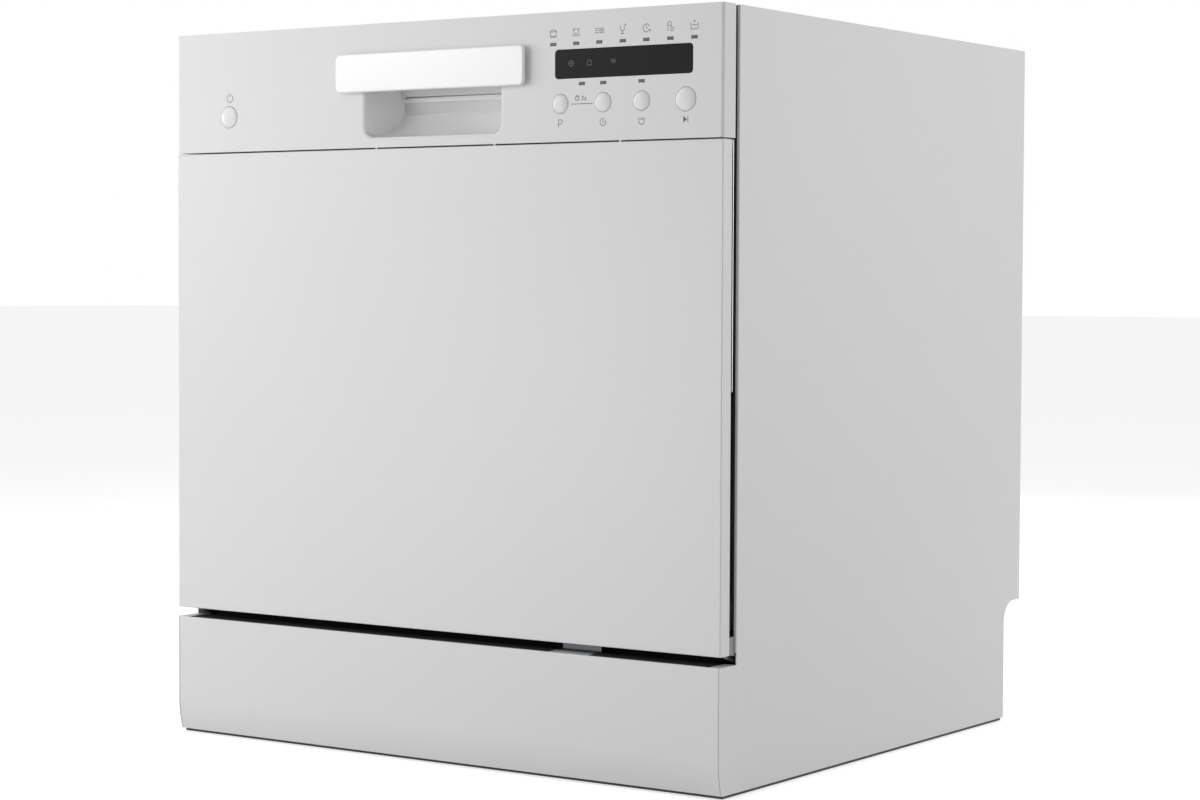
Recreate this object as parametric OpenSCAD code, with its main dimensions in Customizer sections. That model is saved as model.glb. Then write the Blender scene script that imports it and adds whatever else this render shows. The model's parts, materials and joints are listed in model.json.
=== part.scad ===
// Countertop dishwasher for eight place settings, closed, standing on its feet.
// Depths are measured back from the front plane of the door and fascia.

/* [Cabinet] */
// Width over the side panels
cab_w = 550; // [540:1:600]
// Height of the cabinet top above the worktop
cab_h = 595; // [585:1:640]
// Depth from the fascia front to the back panel
cab_d = 500; // [495:1:540]
// Thickness of the sheet steel
sheet = 0.8; // [0.6:0.1:1]
// Bottom edge of the side panels above the worktop
skirt_z = 3; // [2.5:0.1:4]
// Depth at which the side panels start behind the door
side_front = 23.3; // [22.5:0.1:25]
// How far the rear notch steps forward
notch_d = 30; // [26:1:34]
// Height of the underside of the rear overhang
notch_z = 106; // [104:1:112]
// Radius of the notch corner
notch_r = 18; // [12:1:22]
// Height of the plinth top
plinth_z = 100; // [97:0.5:100]
// Height over which the plinth foot curves back
plinth_curve_h = 27; // [20:1:34]
// How far the plinth foot curves back
plinth_curve_d = 4; // [3:0.5:6]

/* [Door] */
// Depth of the outer door skin
skin_d = 17; // [15:0.5:18]
// Thickness of the whole door
door_t = 46; // [45:0.5:48]
// Bottom edge of the door
door_z = 108; // [107:0.5:110]
// Height of the fascia
fascia_h = 100; // [98:1:106]
// Width of that seam
seam_gap = 1.5; // [1:0.1:2.5]
// Gap between the door liner side and the door skin side
liner_inset = 9; // [9:0.5:11]
// Depth of the hinge axis
hinge_d = 12; // [11.5:0.1:12.5]
// Height of the hinge axis
hinge_z = 115; // [114.5:0.1:116]
// Radius of the hinge pins
hinge_pin_r = 4; // [3:0.1:4.5]
// Running clearance of pins and axles
pin_gap = 0.06; // [0.04:0.01:0.09]

/* [Fascia] */
// Wall of the plastic fascia
fascia_t = 2.5; // [2:0.1:3]
// Half width of the grip recess at its mouth
grip_x = 69; // [64:1:70]
// How far each side of the recess draws in towards its back
grip_taper = 11; // [8:0.5:12]
// Corner radius of the recess mouth
grip_r = 8; // [5:0.5:9]
// Lower edge of the grip recess below the cabinet top
grip_drop = 91.5; // [88:0.5:92]
// Height of the grip recess
grip_h = 67.5; // [65:0.5:68]
// Depth of the grip recess
grip_d = 38; // [36:0.5:39]
// Half width of the handle bar
bar_x = 95; // [80:1:100]
// Height of the handle bar
bar_h = 31; // [26:1:34]
// Lower edge of the handle bar below the cabinet top
bar_drop = 55; // [52:0.5:56]
// How far the handle bar stands proud
bar_proud = 6; // [5:0.5:8]
// Corner radius of the handle bar
bar_r = 4.5; // [3:0.5:6]
// Radius of the small buttons
button_r = 7.4; // [6.5:0.1:7.8]
// Radius of the two large buttons
big_button_r = 9; // [8:0.1:9.6]
// Button row below the cabinet top
button_drop = 70.5; // [68:0.5:73]
// Button travel
button_travel = 1.5; // [1:0.1:2]
// Width of the display window
display_w = 126.7; // [110:0.1:128]
// Height of the display window
display_h = 22.4; // [18:0.1:23]
// Centre of the display window in from the right side
display_in = 90.3; // [89:0.1:92]
// Centre of the display window below the cabinet top
display_drop = 40.2; // [39.5:0.1:41]

/* [Tub] */
// Space between tub and cabinet side
tub_side = 19; // [18:0.5:22]
// Thickness of the tub walls
tub_t = 1; // [0.8:0.1:1.2]
// Depth of the tub mouth
tub_front = 50; // [49.5:0.5:52]
// Space between tub and back panel
tub_rear = 20; // [15:1:30]
// Height of the tub floor
tub_z0 = 149; // [148:0.5:151]
// Space between tub ceiling and cabinet top
tub_top = 23; // [22:0.5:25]
// Width of the flange round the tub mouth
flange_w = 12; // [10:0.5:13]

/* [Water] */
// Radius of the filter
filter_r = 34; // [28:1:36]
// Length of the lower spray arm from its hub
lower_arm_r = 186; // [160:1:188]
// Length of the upper spray arm from its hub
upper_arm_r = 186; // [160:1:190]
// Outside radius of the water inlet thread, three quarter inch pipe
inlet_r = 13.2; // [13:0.1:13.3]
// Length of the inlet thread behind its collar
inlet_l = 20; // [16:1:22]
// Outside radius of the drain spigot
drain_r = 10; // [9:0.5:11]
// Length of the drain spigot behind its collar
drain_l = 24; // [20:1:26]
// Radius of the cable hole in the gland
cable_r = 4; // [3.5:0.1:4.5]

/* [Racks] */
// Space between the baskets and the tub sides
rack_side = 26; // [25:0.5:30]
// Space between the tub mouth and the basket fronts
rack_lead = 12; // [10:1:16]
// Space between the baskets and the tub back
rack_rear = 34; // [32:1:50]
// Thickness of the basket wires
wire = 4; // [3:0.5:5]
// Floor of the lower basket above the tub floor
lower_up = 35; // [33:0.5:40]
// Height of the lower basket
lower_h = 116; // [100:1:130]
// Floor of the upper basket above the tub floor
upper_up = 213; // [209:1:220]
// Height of the upper basket
upper_h = 108; // [90:1:120]
// Radius of the lower basket wheels
wheel_r = 12; // [10:0.5:13]
// Radius of the upper basket rollers
roller_r = 8; // [7:0.5:9]

/* [Hidden] */
$fn = 48;
front_y = -(cab_d + bar_proud) / 2 + bar_proud;
half_w = cab_w / 2;
inner_x = half_w - sheet;
seam_z = cab_h - fascia_h;
grip_z0 = cab_h - grip_drop;
grip_z1 = grip_z0 + grip_h;
bar_z = cab_h - bar_drop;
button_z = cab_h - button_drop;
display_x = half_w - display_in;
display_z = cab_h - display_drop;
tub_x = half_w - tub_side;
tub_back = cab_d - tub_rear;
tub_z1 = cab_h - tub_top;
flange_x = tub_x + flange_w;
rack_x = tub_x - rack_side;
rack_front = tub_front + rack_lead;
rack_back = tub_back - rack_rear;
lower_z0 = tub_z0 + lower_up;
lower_z1 = lower_z0 + lower_h;
upper_z0 = tub_z0 + upper_up;
upper_z1 = upper_z0 + upper_h;
liner_x = half_w - liner_inset;
liner_z0 = door_z + 14;
liner_z1 = cab_h - 5;
back_low = cab_d - notch_d;
tray_z = 0.6;
tray_t = 3;
tray_top = tray_z + tray_t;
tray_x = inner_x - 0.8;
tray_back = back_low - 2;
sill_x = tub_x;
sill_d = 24;
sill_drop = 3;
wall_z = tub_z0 - 11;
arm_d = (tub_front + tub_back) / 2 - 15;
free = 0.3;
step = 0.01;

// Places a child drawn with its depth along +Y.
module at_front() translate([0, front_y, 0]) children();

// A block between two corners.
module block(low, high) translate(low) cube(high - low);

// A round bar along X, Y or Z.
module bar_x_at(r, x0, x1, d, z) translate([x0, d, z]) rotate([0, 90, 0]) cylinder(r = r, h = x1 - x0);
module bar_y_at(r, x, d0, d1, z) translate([x, d0, z]) rotate([-90, 0, 0]) cylinder(r = r, h = d1 - d0);
module bar_z_at(r, x, d, z0, z1) translate([x, d, z0]) cylinder(r = r, h = z1 - z0);

// A depth and height outline drawn out along X.
module along_x(x0, x1) translate([x0, 0, 0]) rotate([90, 0, 90]) linear_extrude(x1 - x0) children();

// A width and height outline drawn out in depth.
module along_y(d0, d1) translate([0, d1, 0]) rotate([90, 0, 0]) linear_extrude(d1 - d0) children();

// The same child on both sides.
module both_sides() {
  children();
  mirror([1, 0, 0]) children();
}

// Points of an arc about a centre.
function arc(c, r, a0, a1, n) = [for (i = [0:n]) let (a = a0 + (a1 - a0) * i / n) c + r * [cos(a), sin(a)]];

// A rectangle with rounded corners, in one plane.
module rounded(x0, x1, z0, z1, r) polygon(concat(
  arc([x1 - r, z0 + r], r, -90, 0, 5), arc([x1 - r, z1 - r], r, 0, 90, 5),
  arc([x0 + r, z1 - r], r, 90, 180, 5), arc([x0 + r, z0 + r], r, 180, 270, 5)));

// The plinth front line from its top down, set back by an inset.
plinth_R = (pow(plinth_curve_h, 2) + pow(plinth_curve_d, 2)) / (2 * plinth_curve_d);
plinth_sweep = asin(plinth_curve_h / plinth_R);
function plinth_line(inset) = concat([[inset, plinth_z]],
  arc([plinth_R, skirt_z + plinth_curve_h], plinth_R - inset, 180, 180 + plinth_sweep, 6));

// The rear line of the cabinet from its top down, set in by an inset.
function rear_line(inset) = concat(
  [[cab_d - inset, cab_h - sheet], [cab_d - inset, notch_z + inset]],
  arc([back_low + notch_r, notch_z - notch_r], notch_r + inset, 90, 180, 8),
  [[back_low - inset, skirt_z]]);

function flip(p) = [for (i = [len(p) - 1:-1:0]) p[i]];

module side_outline() polygon(concat(
  [[side_front, cab_h], [cab_d, cab_h]],
  [for (i = [1:len(rear_line(0)) - 1]) rear_line(0)[i]],
  flip(plinth_line(0)),
  [[side_front, plinth_z]]));

toe_flange = 10;
module cabinet_wrap() color("gainsboro") at_front() {
  difference() {
    along_x(-half_w, half_w) side_outline();
    block([-inner_x, -1, -1], [inner_x, cab_d + 1, cab_h - sheet]);
  }
  both_sides() block([inner_x - toe_flange, sheet, plinth_z - sheet], [inner_x + step, side_front, plinth_z]);
}

inlet_x = half_w - 70;
drain_x = inlet_x - 55;
gland_x = 70 - half_w;
port_z = 52;
gland_hole = 9;
port_gap = 4;
collar_w = 3;
collar_end = back_low + 2;
screw_r = 3.4;
screw_core = 1.7;
screw_head = 1.6;
screw_x = inner_x - 14;
function screw_spots() = [for (x = [-screw_x, screw_x], z = [notch_z + 24, cab_h - 30]) [x, z]];

module back_panel() color("silver") at_front() difference() {
  along_x(-inner_x, inner_x) polygon(concat(rear_line(0), flip(rear_line(sheet))));
  bar_y_at(inlet_r + port_gap, inlet_x, tray_back, cab_d, port_z);
  bar_y_at(drain_r + port_gap, drain_x, tray_back, cab_d, port_z);
  bar_y_at(gland_hole, gland_x, tray_back, cab_d, port_z);
  for (s = screw_spots()) bar_y_at(screw_r, s[0], cab_d - 2, cab_d + 1, s[1]);
}

module case_screws() color("dimgray") at_front() for (s = screw_spots()) {
  bar_y_at(screw_r - free, s[0], cab_d - screw_head, cab_d, s[1]);
  bar_y_at(screw_core, s[0], cab_d - 9, cab_d - screw_head, s[1]);
}

module plinth_panel() color("gainsboro") at_front() {
  along_x(-inner_x, inner_x) polygon(concat(plinth_line(0), flip(plinth_line(sheet))));
  block([-sill_x, sheet - step, plinth_z - sheet], [sill_x, sill_d - 4, plinth_z]);
}

foot_r = 12;
foot_x = half_w - 27;
foot_front = 22;
foot_rear = back_low - 28;
foot_cup = 5;
stud_r = 4;
function foot_spots() = [for (x = [-foot_x, foot_x], d = [foot_front, foot_rear]) [x, d]];

module feet() color("#222222") at_front() for (s = foot_spots()) {
  bar_z_at(foot_r, s[0], s[1], 0, foot_cup - free);
  bar_z_at(stud_r, s[0], s[1], foot_cup - free - step, foot_cup + 16);
}

// The base: a floor with foot cups, side walls, a front sill and posts for the tub.
bracket_back = 66;
bracket_t = 3;
bracket_x = tray_x - bracket_t;
post_in = 46;
post_spots = [[post_in - tub_x, arm_d - 120], [tub_x - post_in, arm_d - 120],
  [-40, back_low - 70], [tub_x - post_in, arm_d + 80]];
module base_tray() color("#2b2b2b") at_front() difference() {
  union() {
    block([-tray_x, 7, tray_z], [tray_x, tray_back, tray_top]);
    for (s = foot_spots()) bar_z_at(foot_r + 3, s[0], s[1], tray_z, foot_cup + 3);
    for (s = foot_spots()) bar_z_at(stud_r + 4, s[0], s[1], foot_cup, foot_cup + 16);
    both_sides() block([bracket_x, bracket_back, tray_top - step], [tray_x, tray_back, wall_z]);
    along_x(-sill_x, sill_x) polygon([
      [sill_d - 2.5, tray_top - step], [sill_d, tray_top - step], [sill_d, plinth_z - sill_drop - 2],
      [tub_front + 2.5, hinge_z - 6], [tub_front + 2.5, wall_z], [tub_front, wall_z],
      [tub_front, hinge_z - 3.5], [sill_d - 2.5, plinth_z - sill_drop]]);
    for (p = post_spots) bar_z_at(7, p[0], p[1], tray_top - step, tub_z0 - tub_t);
    both_sides() block([spring_x - 6, spring_end + 2, tray_top - step],
      [spring_x + 5, spring_end + 8, spring_low + 10]);
  }
  for (s = foot_spots()) {
    bar_z_at(foot_r + free, s[0], s[1], 0, foot_cup);
    bar_z_at(stud_r + free, s[0], s[1], 0, foot_cup + 17);
  }
}

module tub() color("lightsteelblue") at_front() difference() {
  union() {
    block([-tub_x, tub_front, tub_z0 - tub_t], [tub_x, tub_back, tub_z1 + tub_t]);
    block([-flange_x, tub_front, wall_z], [flange_x, tub_front + tub_t, cab_h - 3]);
  }
  block([tub_t - tub_x, tub_front - 1, tub_z0], [tub_x - tub_t, tub_back - tub_t, tub_z1]);
  block([-strike_x, tub_front - 1, strike_z0], [strike_x, tub_front + 2, strike_z1]);
  bar_z_at(filter_r + 6, filter_x, filter_d, 140, 155);
  bar_z_at(riser_r + 1, 0, arm_d, 140, 155);
  bar_z_at(cap_r + 1, cap_x, cap_d, 140, 155);
  bar_z_at(float_r + 1, float_x, float_d, 140, 155);
}

gasket_gap = 0.3;
gasket_w = 8;
gasket_x = tub_x + 1;
gasket_top = 6;
gasket_z = tub_z1 + 1;
module door_seals() color("#3a3a3c") at_front() {
  along_y(door_t + gasket_gap, tub_front) difference() {
    translate([-gasket_x - gasket_w, wall_z + 1])
      square([2 * (gasket_x + gasket_w), gasket_z + gasket_top - 1 - wall_z]);
    translate([-gasket_x, wall_z]) square([2 * gasket_x, gasket_z - wall_z]);
  }
  block([-sill_x, door_t + gasket_gap, wall_z + 1], [sill_x, tub_front, wall_z + 9]);
}

trim_x = flange_x + 2;
module side_trims() color("#1d1d1d") at_front() both_sides()
  block([trim_x, side_front + 0.2, tub_z0 + 3], [inner_x, tub_front, cab_h - sheet]);

// A clip that holds the plinth top, seen through the gap under the door.
clip_x0 = 116;
clip_x1 = 153;
clip_d = sill_d - 3.5;

// Hinges: a fixed bracket with its pin outside, an arm on the door liner inside.
arm_x0 = liner_x;
arm_x1 = arm_x0 + 3;
tail_d = hinge_d + 25;
tail_z = hinge_z - 11;
module front_brackets() color("silver") at_front() {
  both_sides() {
  along_x(bracket_x, tray_x) polygon(concat(
    arc([hinge_d, hinge_z], 6.5, 90, 250, 8),
    [[34, hinge_z - 10], [48, 80], [48, tray_top], [bracket_back, tray_top], [bracket_back, hinge_z + 6.5]]));
    bar_x_at(hinge_pin_r, arm_x0 - 4, bracket_x + step, hinge_d, hinge_z);
  }
  block([clip_x0, 9, plinth_z], [clip_x1, clip_d + 0.8, plinth_z + 0.8]);
  block([clip_x0, clip_d, plinth_z], [clip_x1, clip_d + 0.8, door_z + 4]);
}

module hinge_arms() color("silver") at_front() both_sides() difference() {
  union() {
    along_x(arm_x0, arm_x1) polygon(concat(
      arc([hinge_d, hinge_z], 8, 150, 270, 6),
      [[tail_d - 3, tail_z - 5], [tail_d + 4, tail_z - 4], [tail_d + 4, tail_z + 6], [22, hinge_z + 8],
       [40, hinge_z + 26], [40, arm_top], [22, arm_top], [18, hinge_z + 30], [6, hinge_z + 12]]));
    bar_x_at(2.5, arm_x0 - 8, arm_x0 + step, tail_d, tail_z);
  }
  bar_x_at(hinge_pin_r + pin_gap, arm_x0 - 3, arm_x1 + 1, hinge_d, hinge_z);
}

spring_r = 4.5;
spring_x = arm_x0 - 5;
spring_start = tail_d + 3;
spring_end = spring_start + 140;
spring_low = tail_z - 44;
spring_run = [0, spring_end - spring_start, spring_low - tail_z + 1];
module door_springs() color("dimgray") at_front() both_sides()
  translate([spring_x, spring_start, tail_z - 1])
    rotate([-90 - asin(spring_run[2] / norm(spring_run)), 0, 0]) cylinder(r = spring_r, h = norm(spring_run));

strike_x = 20;
strike_z1 = cab_h - 6;
strike_z0 = strike_z1 - 12;
strike_t = 2;
module latch_strike() color("silver") at_front() difference() {
  block([-strike_x - 8, tub_front + tub_t, strike_z0 - 2],
    [strike_x + 8, tub_front + tub_t + strike_t, cab_h - 3]);
  block([-strike_x, tub_front, strike_z0], [strike_x, tub_front + 5, strike_z1]);
}

// Water parts under the tub.
filter_x = 70;
filter_d = arm_d - 70;
riser_r = 13;
cap_x = 86 - tub_x;
cap_d = back_low - 115;
cap_r = 27;
float_x = tub_x - 76;
float_d = tub_front + 62;
float_r = 10;
pump_z = 62;
pump_r = 44;
sump_r = filter_r + 12;
sump_z0 = 40;
tub_under = tub_z0 - tub_t;
module sump() color("#e8e8e4") at_front() difference() {
  union() {
    bar_z_at(sump_r, filter_x, filter_d, sump_z0, tub_under);
    bar_z_at(sump_r - 16, filter_x, filter_d, tray_top, sump_z0 + step);
  }
  bar_z_at(sump_r - 4, filter_x, filter_d, sump_z0 + 4, tub_z0 + 1);
}

filter_z0 = 92;
filter_top = tub_z0 + 6;
module coarse_filter() color("silver") at_front() difference() {
  bar_z_at(filter_r + 26, filter_x, filter_d, tub_z0, tub_z0 + 1.5);
  bar_z_at(filter_r + free, filter_x, filter_d, tub_z0 - 1, tub_z0 + 3);
  bar_z_at(riser_r + 4, 0, arm_d, tub_z0 - 1, tub_z0 + 3);
}

module micro_filter() color("#b9c2c8") at_front() {
  difference() {
    bar_z_at(filter_r, filter_x, filter_d, filter_z0, filter_top - 2);
    bar_z_at(filter_r - 2.5, filter_x, filter_d, filter_z0 + 2.5, filter_top);
  }
  block([filter_x - filter_r + 1, filter_d - 3, filter_top - 9],
    [filter_x + filter_r - 1, filter_d + 3, filter_top]);
}

pump_x0 = filter_x + sump_r + 0.4;
pump_x1 = pump_x0 + 44;
module wash_pump_housing() color("#d9d9d5") at_front() difference() {
  union() {
    bar_x_at(pump_r, pump_x0 + 12, pump_x1, filter_d, pump_z + 2);
    bar_x_at(16, pump_x0, pump_x0 + 13, filter_d, pump_z + 2);
    block([pump_x0 + 16, filter_d - 20, tray_top], [pump_x1 - 4, filter_d + 20, pump_z - 30]);
  }
  bar_x_at(pump_r - 4, pump_x0 + 16, pump_x1 - 4, filter_d, pump_z + 2);
  bar_x_at(12, pump_x0 - 1, pump_x0 + 17, filter_d, pump_z + 2);
  bar_x_at(shaft_r + pin_gap, pump_x0, pump_x1 + 1, filter_d, pump_z + 2);
}

shaft_r = 4;
module wash_impeller() color("dimgray") at_front() {
  bar_x_at(32, pump_x0 + 22, pump_x0 + 26, filter_d, pump_z + 2);
  for (a = [0:60:300]) translate([0, filter_d, pump_z + 2]) rotate([a, 0, 0])
    block([pump_x0 + 18, 8, -1.5], [pump_x0 + 22 + step, 31, 1.5]);
  bar_x_at(shaft_r, pump_x0 + 26 - step, pump_x1 + 1, filter_d, pump_z + 2);
}

motor_l = 70;
module wash_motor() color("#50555a") at_front() difference() {
  union() {
    bar_x_at(36, pump_x1, pump_x1 + motor_l, filter_d, pump_z + 2);
    block([pump_x1 + 12, filter_d - 22, tray_top], [pump_x1 + motor_l - 12, filter_d + 22, pump_z - 18]);
  }
  bar_x_at(shaft_r + 1, pump_x1 - 1, pump_x1 + 3, filter_d, pump_z + 2);
}

drain_pump_z = 34;
module drain_pump() color("#3d3f42") at_front() {
  bar_y_at(26, filter_x, filter_d + sump_r + 0.6, filter_d + sump_r + 60, drain_pump_z);
  block([filter_x - 18, filter_d + sump_r + 10, tray_top],
    [filter_x + 18, filter_d + sump_r + 50, drain_pump_z - 18]);
}

heater_r = 19;
heater_x1 = filter_x - sump_r - 0.4;
heater_z = 58;
module flow_heater() color("#c9cdd0") at_front() {
  bar_x_at(heater_r, heater_x1 - 130, heater_x1, filter_d, heater_z);
  for (x = [heater_x1 - 110, heater_x1 - 30])
    block([x, filter_d - 10, tray_top], [x + 8, filter_d + 10, heater_z - heater_r + 3]);
}

softener_r = cap_r + 12;
module softener_tank() color("#efefec") at_front() difference() {
  union() {
    bar_z_at(softener_r, cap_x, cap_d, tray_top, tub_under);
    block([cap_x - 60, cap_d - 30, tray_top], [cap_x + 40, cap_d + 70, 118]);
  }
  bar_z_at(cap_r - 4, cap_x, cap_d, 30, tub_z0);
}

module salt_cap() color("#9fa6ab") at_front() {
  bar_z_at(cap_r, cap_x, cap_d, tub_under, tub_z0 + 5);
  bar_z_at(cap_r - 4 - free, cap_x, cap_d, tub_z0 - 20, tub_under + step);
  block([cap_x - cap_r + 4, cap_d - 3, tub_z0 + 5 - step], [cap_x + cap_r - 4, cap_d + 3, tub_z0 + 8]);
}

module float_switch_dome() color("#b9c2c8") at_front() {
  bar_z_at(float_r + 5, float_x, float_d, tub_z0 + free, tub_z0 + 12);
  bar_z_at(float_r - 4, float_x, float_d, tray_top + 90, tub_z0 + free + step);
}

// The manifold feeds both spray arms from the floor and up the tub back.
arm_z = tub_z0 + 11;
arm_t = 11;
post_r = 6;
dock_z = upper_z0 - 20;
riser_d = tub_back - tub_t - 8;
riser_half = 7;
module wash_manifold() color("#c4c9cc") at_front() difference() {
  union() {
    bar_z_at(riser_r, 0, arm_d, 88, tub_z0 + 8);
    bar_z_at(post_r, 0, arm_d, tub_z0 + 8 - step, arm_z + arm_t + 3);
    block([-10, arm_d, tub_z0 + free], [10, riser_d + riser_half, tub_z0 + 8]);
    block([-14, riser_d - riser_half, tub_z0 + free], [14, riser_d + riser_half, dock_z + 10]);
    block([-9, riser_d - 14, dock_z - 8], [9, riser_d - riser_half + step, dock_z + 8]);
  }
  bar_z_at(riser_r - 3, 0, arm_d, 80, tub_z0 + 4);
}

arm_tip = 15;
module spray_arm(length, t) {
  cylinder(r = 17, h = t);
  linear_extrude(t - 3) polygon(concat(
    arc([length - arm_tip, 0], arm_tip, -80, 80, 8), [[30, arm_tip], [-30, arm_tip]],
    arc([arm_tip - length, 0], arm_tip, 100, 260, 8), [[-30, -arm_tip], [30, -arm_tip]]));
}

module lower_spray_arm() color("#aeb6bb") at_front() translate([0, arm_d, arm_z]) difference() {
  spray_arm(lower_arm_r, arm_t);
  translate([0, 0, -1]) cylinder(r = post_r + pin_gap, h = arm_t + 2);
}

module inlet_valve() color("#f2f2f0") at_front() difference() {
  union() {
    bar_y_at(inlet_r, inlet_x, back_low - 14, collar_end + inlet_l, port_z);
    bar_y_at(inlet_r + collar_w, inlet_x, back_low - 14, collar_end, port_z);
    block([inlet_x - 20, back_low - 60, tray_top], [inlet_x + 20, back_low - 13, port_z + 22]);
  }
  bar_y_at(inlet_r / 2, inlet_x, back_low - 12, cab_d, port_z);
}

module drain_outlet() color("#3d3f42") at_front() difference() {
  union() {
    bar_y_at(drain_r, drain_x, back_low - 14, collar_end + drain_l, port_z);
    bar_y_at(drain_r + collar_w, drain_x, back_low - 14, collar_end, port_z);
    block([drain_x - 16, back_low - 40, tray_top], [drain_x + 16, back_low - 13, port_z + 16]);
  }
  bar_y_at(drain_r - 3, drain_x, back_low - 38, cab_d, port_z);
}

module cable_gland() color("#222222") at_front() difference() {
  union() {
    bar_y_at(gland_hole - free, gland_x, back_low - 8, back_low + 1, port_z);
    bar_y_at(gland_hole + 3, gland_x, back_low, back_low + 9, port_z);
    block([gland_x - 18, back_low - 30, tray_top], [gland_x + 18, back_low - 8 + step, port_z + 14]);
  }
  bar_y_at(cable_r, gland_x, back_low - 31, back_low + 10, port_z);
}

module air_break() color("#e6e9ea") at_front()
  block([1 - inner_x, 180, tub_z0 + 41], [-tub_x, tub_back - 60, tub_z1 - 72]);

// Door.
skin_return = skin_d - 1.5;
arm_top = hinge_z + 185;
flange_z0 = arm_top + 6;
module door_outer_panel() color("gainsboro") at_front() difference() {
  block([-half_w, 0, door_z], [half_w, skin_return, seam_z - seam_gap / 2]);
  block([-inner_x, sheet, door_z + sheet], [inner_x, skin_d, seam_z]);
  both_sides() block([arm_x0 - 6, sheet, door_z - 1], [inner_x, skin_d, door_z + 2]);
}

disp_x = 76;
disp_z0 = tub_z0 + 155;
disp_z1 = disp_z0 + 100;
cup_x0 = 10 - disp_x;
cup_x1 = cup_x0 + 60;
cup_z0 = disp_z0 + 18;
cup_z1 = disp_z1 - 18;
rinse_r = 15;
rinse_x = disp_x - rinse_r - 21;
rinse_z = (disp_z0 + disp_z1) / 2;
door_screw_r = 4;
door_screw_x = liner_x - 24;
function door_screws() = [for (x = [-door_screw_x, door_screw_x],
  z = [tub_z0 + 11, tub_z0 + 200, tub_z1 - 12]) [x, z]];
claw_x = 10;
module door_inner_liner() color("lightsteelblue") at_front() difference() {
  union() {
    block([-liner_x, skin_d, liner_z0], [liner_x, door_t, liner_z1]);
    block([-inner_x, skin_return, flange_z0], [inner_x, skin_return + sheet, seam_z - 1]);
    both_sides() block([liner_x - sheet, skin_return, flange_z0],
      [liner_x, skin_d + step, seam_z - 1]);
  }
  block([sheet - liner_x, skin_return - 1, liner_z0 + sheet],
    [liner_x - sheet, door_t - sheet, liner_z1 - sheet]);
  block([-disp_x, door_t - 2, disp_z0], [disp_x, door_t + 1, disp_z1]);
  block([-claw_x - 5, door_t - 2, strike_z0], [claw_x + 5, door_t + 1, liner_z1 - sheet]);
  for (s = door_screws()) bar_y_at(2 + free, s[0], door_t - 2, door_t + 1, s[1]);
}

module inner_door_screws() color("dimgray") at_front() for (s = door_screws()) {
  bar_y_at(door_screw_r, s[0], door_t, door_t + 1.2, s[1]);
  bar_y_at(2, s[0], door_t - 8, door_t + step, s[1]);
}

// Places of the fascia's controls: across, height.
small_buttons = [half_w - 148.5, half_w - 108.4, half_w - 73.1];
start_x = half_w - 33.2;
power_x = 59 - half_w;
lens_w = 5.5;
lens_h = 2.4;
lens_pitch = 21.6;
upper_lens_x = [for (i = [-3:3]) display_x - 0.3 + i * lens_pitch];
lower_lens_x = [small_buttons[1] - 19.9, small_buttons[1], small_buttons[2]];
lens_spots = concat([for (x = upper_lens_x) [x, display_z + 15.5]],
  [for (x = lower_lens_x) [x, display_z - 15.4]]);
fascia_z0 = seam_z + seam_gap / 2;
fit_gap = 0.1;
board_d = 9;
board_t = 1.6;
board_x0 = half_w - 171;
board_x1 = half_w - 13;
board_z0 = fascia_z0 + 6;
board_z1 = cab_h - 6;
power_board = 18;
scoop_r = 37;
scoop_start = 6;
scoop_sweep = acos(1 - 27 / scoop_r);
module recess() intersection() {
  along_x(-grip_x, grip_x) polygon(concat(
    [[-1, grip_z1], [-1, grip_z0]],
    arc([scoop_start, grip_z0 + scoop_r], scoop_r, -90, scoop_sweep - 90, 10),
    [[grip_d, grip_z0 + 30], [grip_d, grip_z1]]));
  translate([0, 0, grip_z0 - 1]) linear_extrude(grip_h + 2) polygon([
    [-grip_x, -2], [grip_x, -2], [grip_x, fascia_t], [grip_x - grip_taper, grip_d + 1],
    [grip_taper - grip_x, grip_d + 1], [-grip_x, fascia_t]]);
  along_y(-2, grip_d + 1) rounded(-grip_x, grip_x, grip_z0, grip_z1, grip_r);
}

module control_fascia() color("gainsboro") at_front() difference() {
  union() {
    difference() {
      block([-half_w, 0, fascia_z0], [half_w, skin_d, cab_h]);
      block([fascia_t - half_w, fascia_t, fascia_z0 + fascia_t],
        [half_w - fascia_t, skin_d + 1, cab_h - fascia_t]);
    }
    block([-grip_x - 2, fascia_t - step, grip_z0 - 2], [grip_x + 2, grip_d + 2, grip_z1 + 2]);
    for (x = [board_x0 + 4, board_x1 - 4], z = [board_z0 + 4, board_z1 - 4])
      bar_y_at(3, x, fascia_t - step, board_d, z);
    for (x = [power_x - 14, power_x + 14], z = [button_z - 14, button_z + 14])
      bar_y_at(2, x, fascia_t - step, board_d, z);
  }
  recess();
  for (x = small_buttons) bar_y_at(button_r + free, x, -1, fascia_t + 1, button_z);
  for (x = [start_x, power_x]) bar_y_at(big_button_r + free, x, -1, fascia_t + 1, button_z);
  along_y(-1, fascia_t + 1) rounded(display_x - display_w / 2 - fit_gap, display_x + display_w / 2 + fit_gap,
    display_z - display_h / 2 - fit_gap, display_z + display_h / 2 + fit_gap, 3);
  for (s = lens_spots)
    block([s[0] - lens_w / 2 - fit_gap, -1, s[1] - lens_h / 2 - fit_gap],
      [s[0] + lens_w / 2 + fit_gap, fascia_t + 1, s[1] + lens_h / 2 + fit_gap]);
  bar_x_at(lever_pin_r + pin_gap, 1 - grip_x, grip_x - 1, lever_d, lever_z);
  block([-lever_x, grip_d - 1, lever_bottom - lever_gap], [lever_x, grip_d + 3, lever_bottom + lever_gap]);
  block([-lever_x, grip_d - 1, lever_bottom - 2 * lever_gap], [1.5 - lever_x, grip_d + 3, lever_bottom]);
}

module handle_bar() color("white") at_front()
  along_y(-bar_proud, 0) rounded(-bar_x, bar_x, bar_z, bar_z + bar_h, bar_r);

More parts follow.
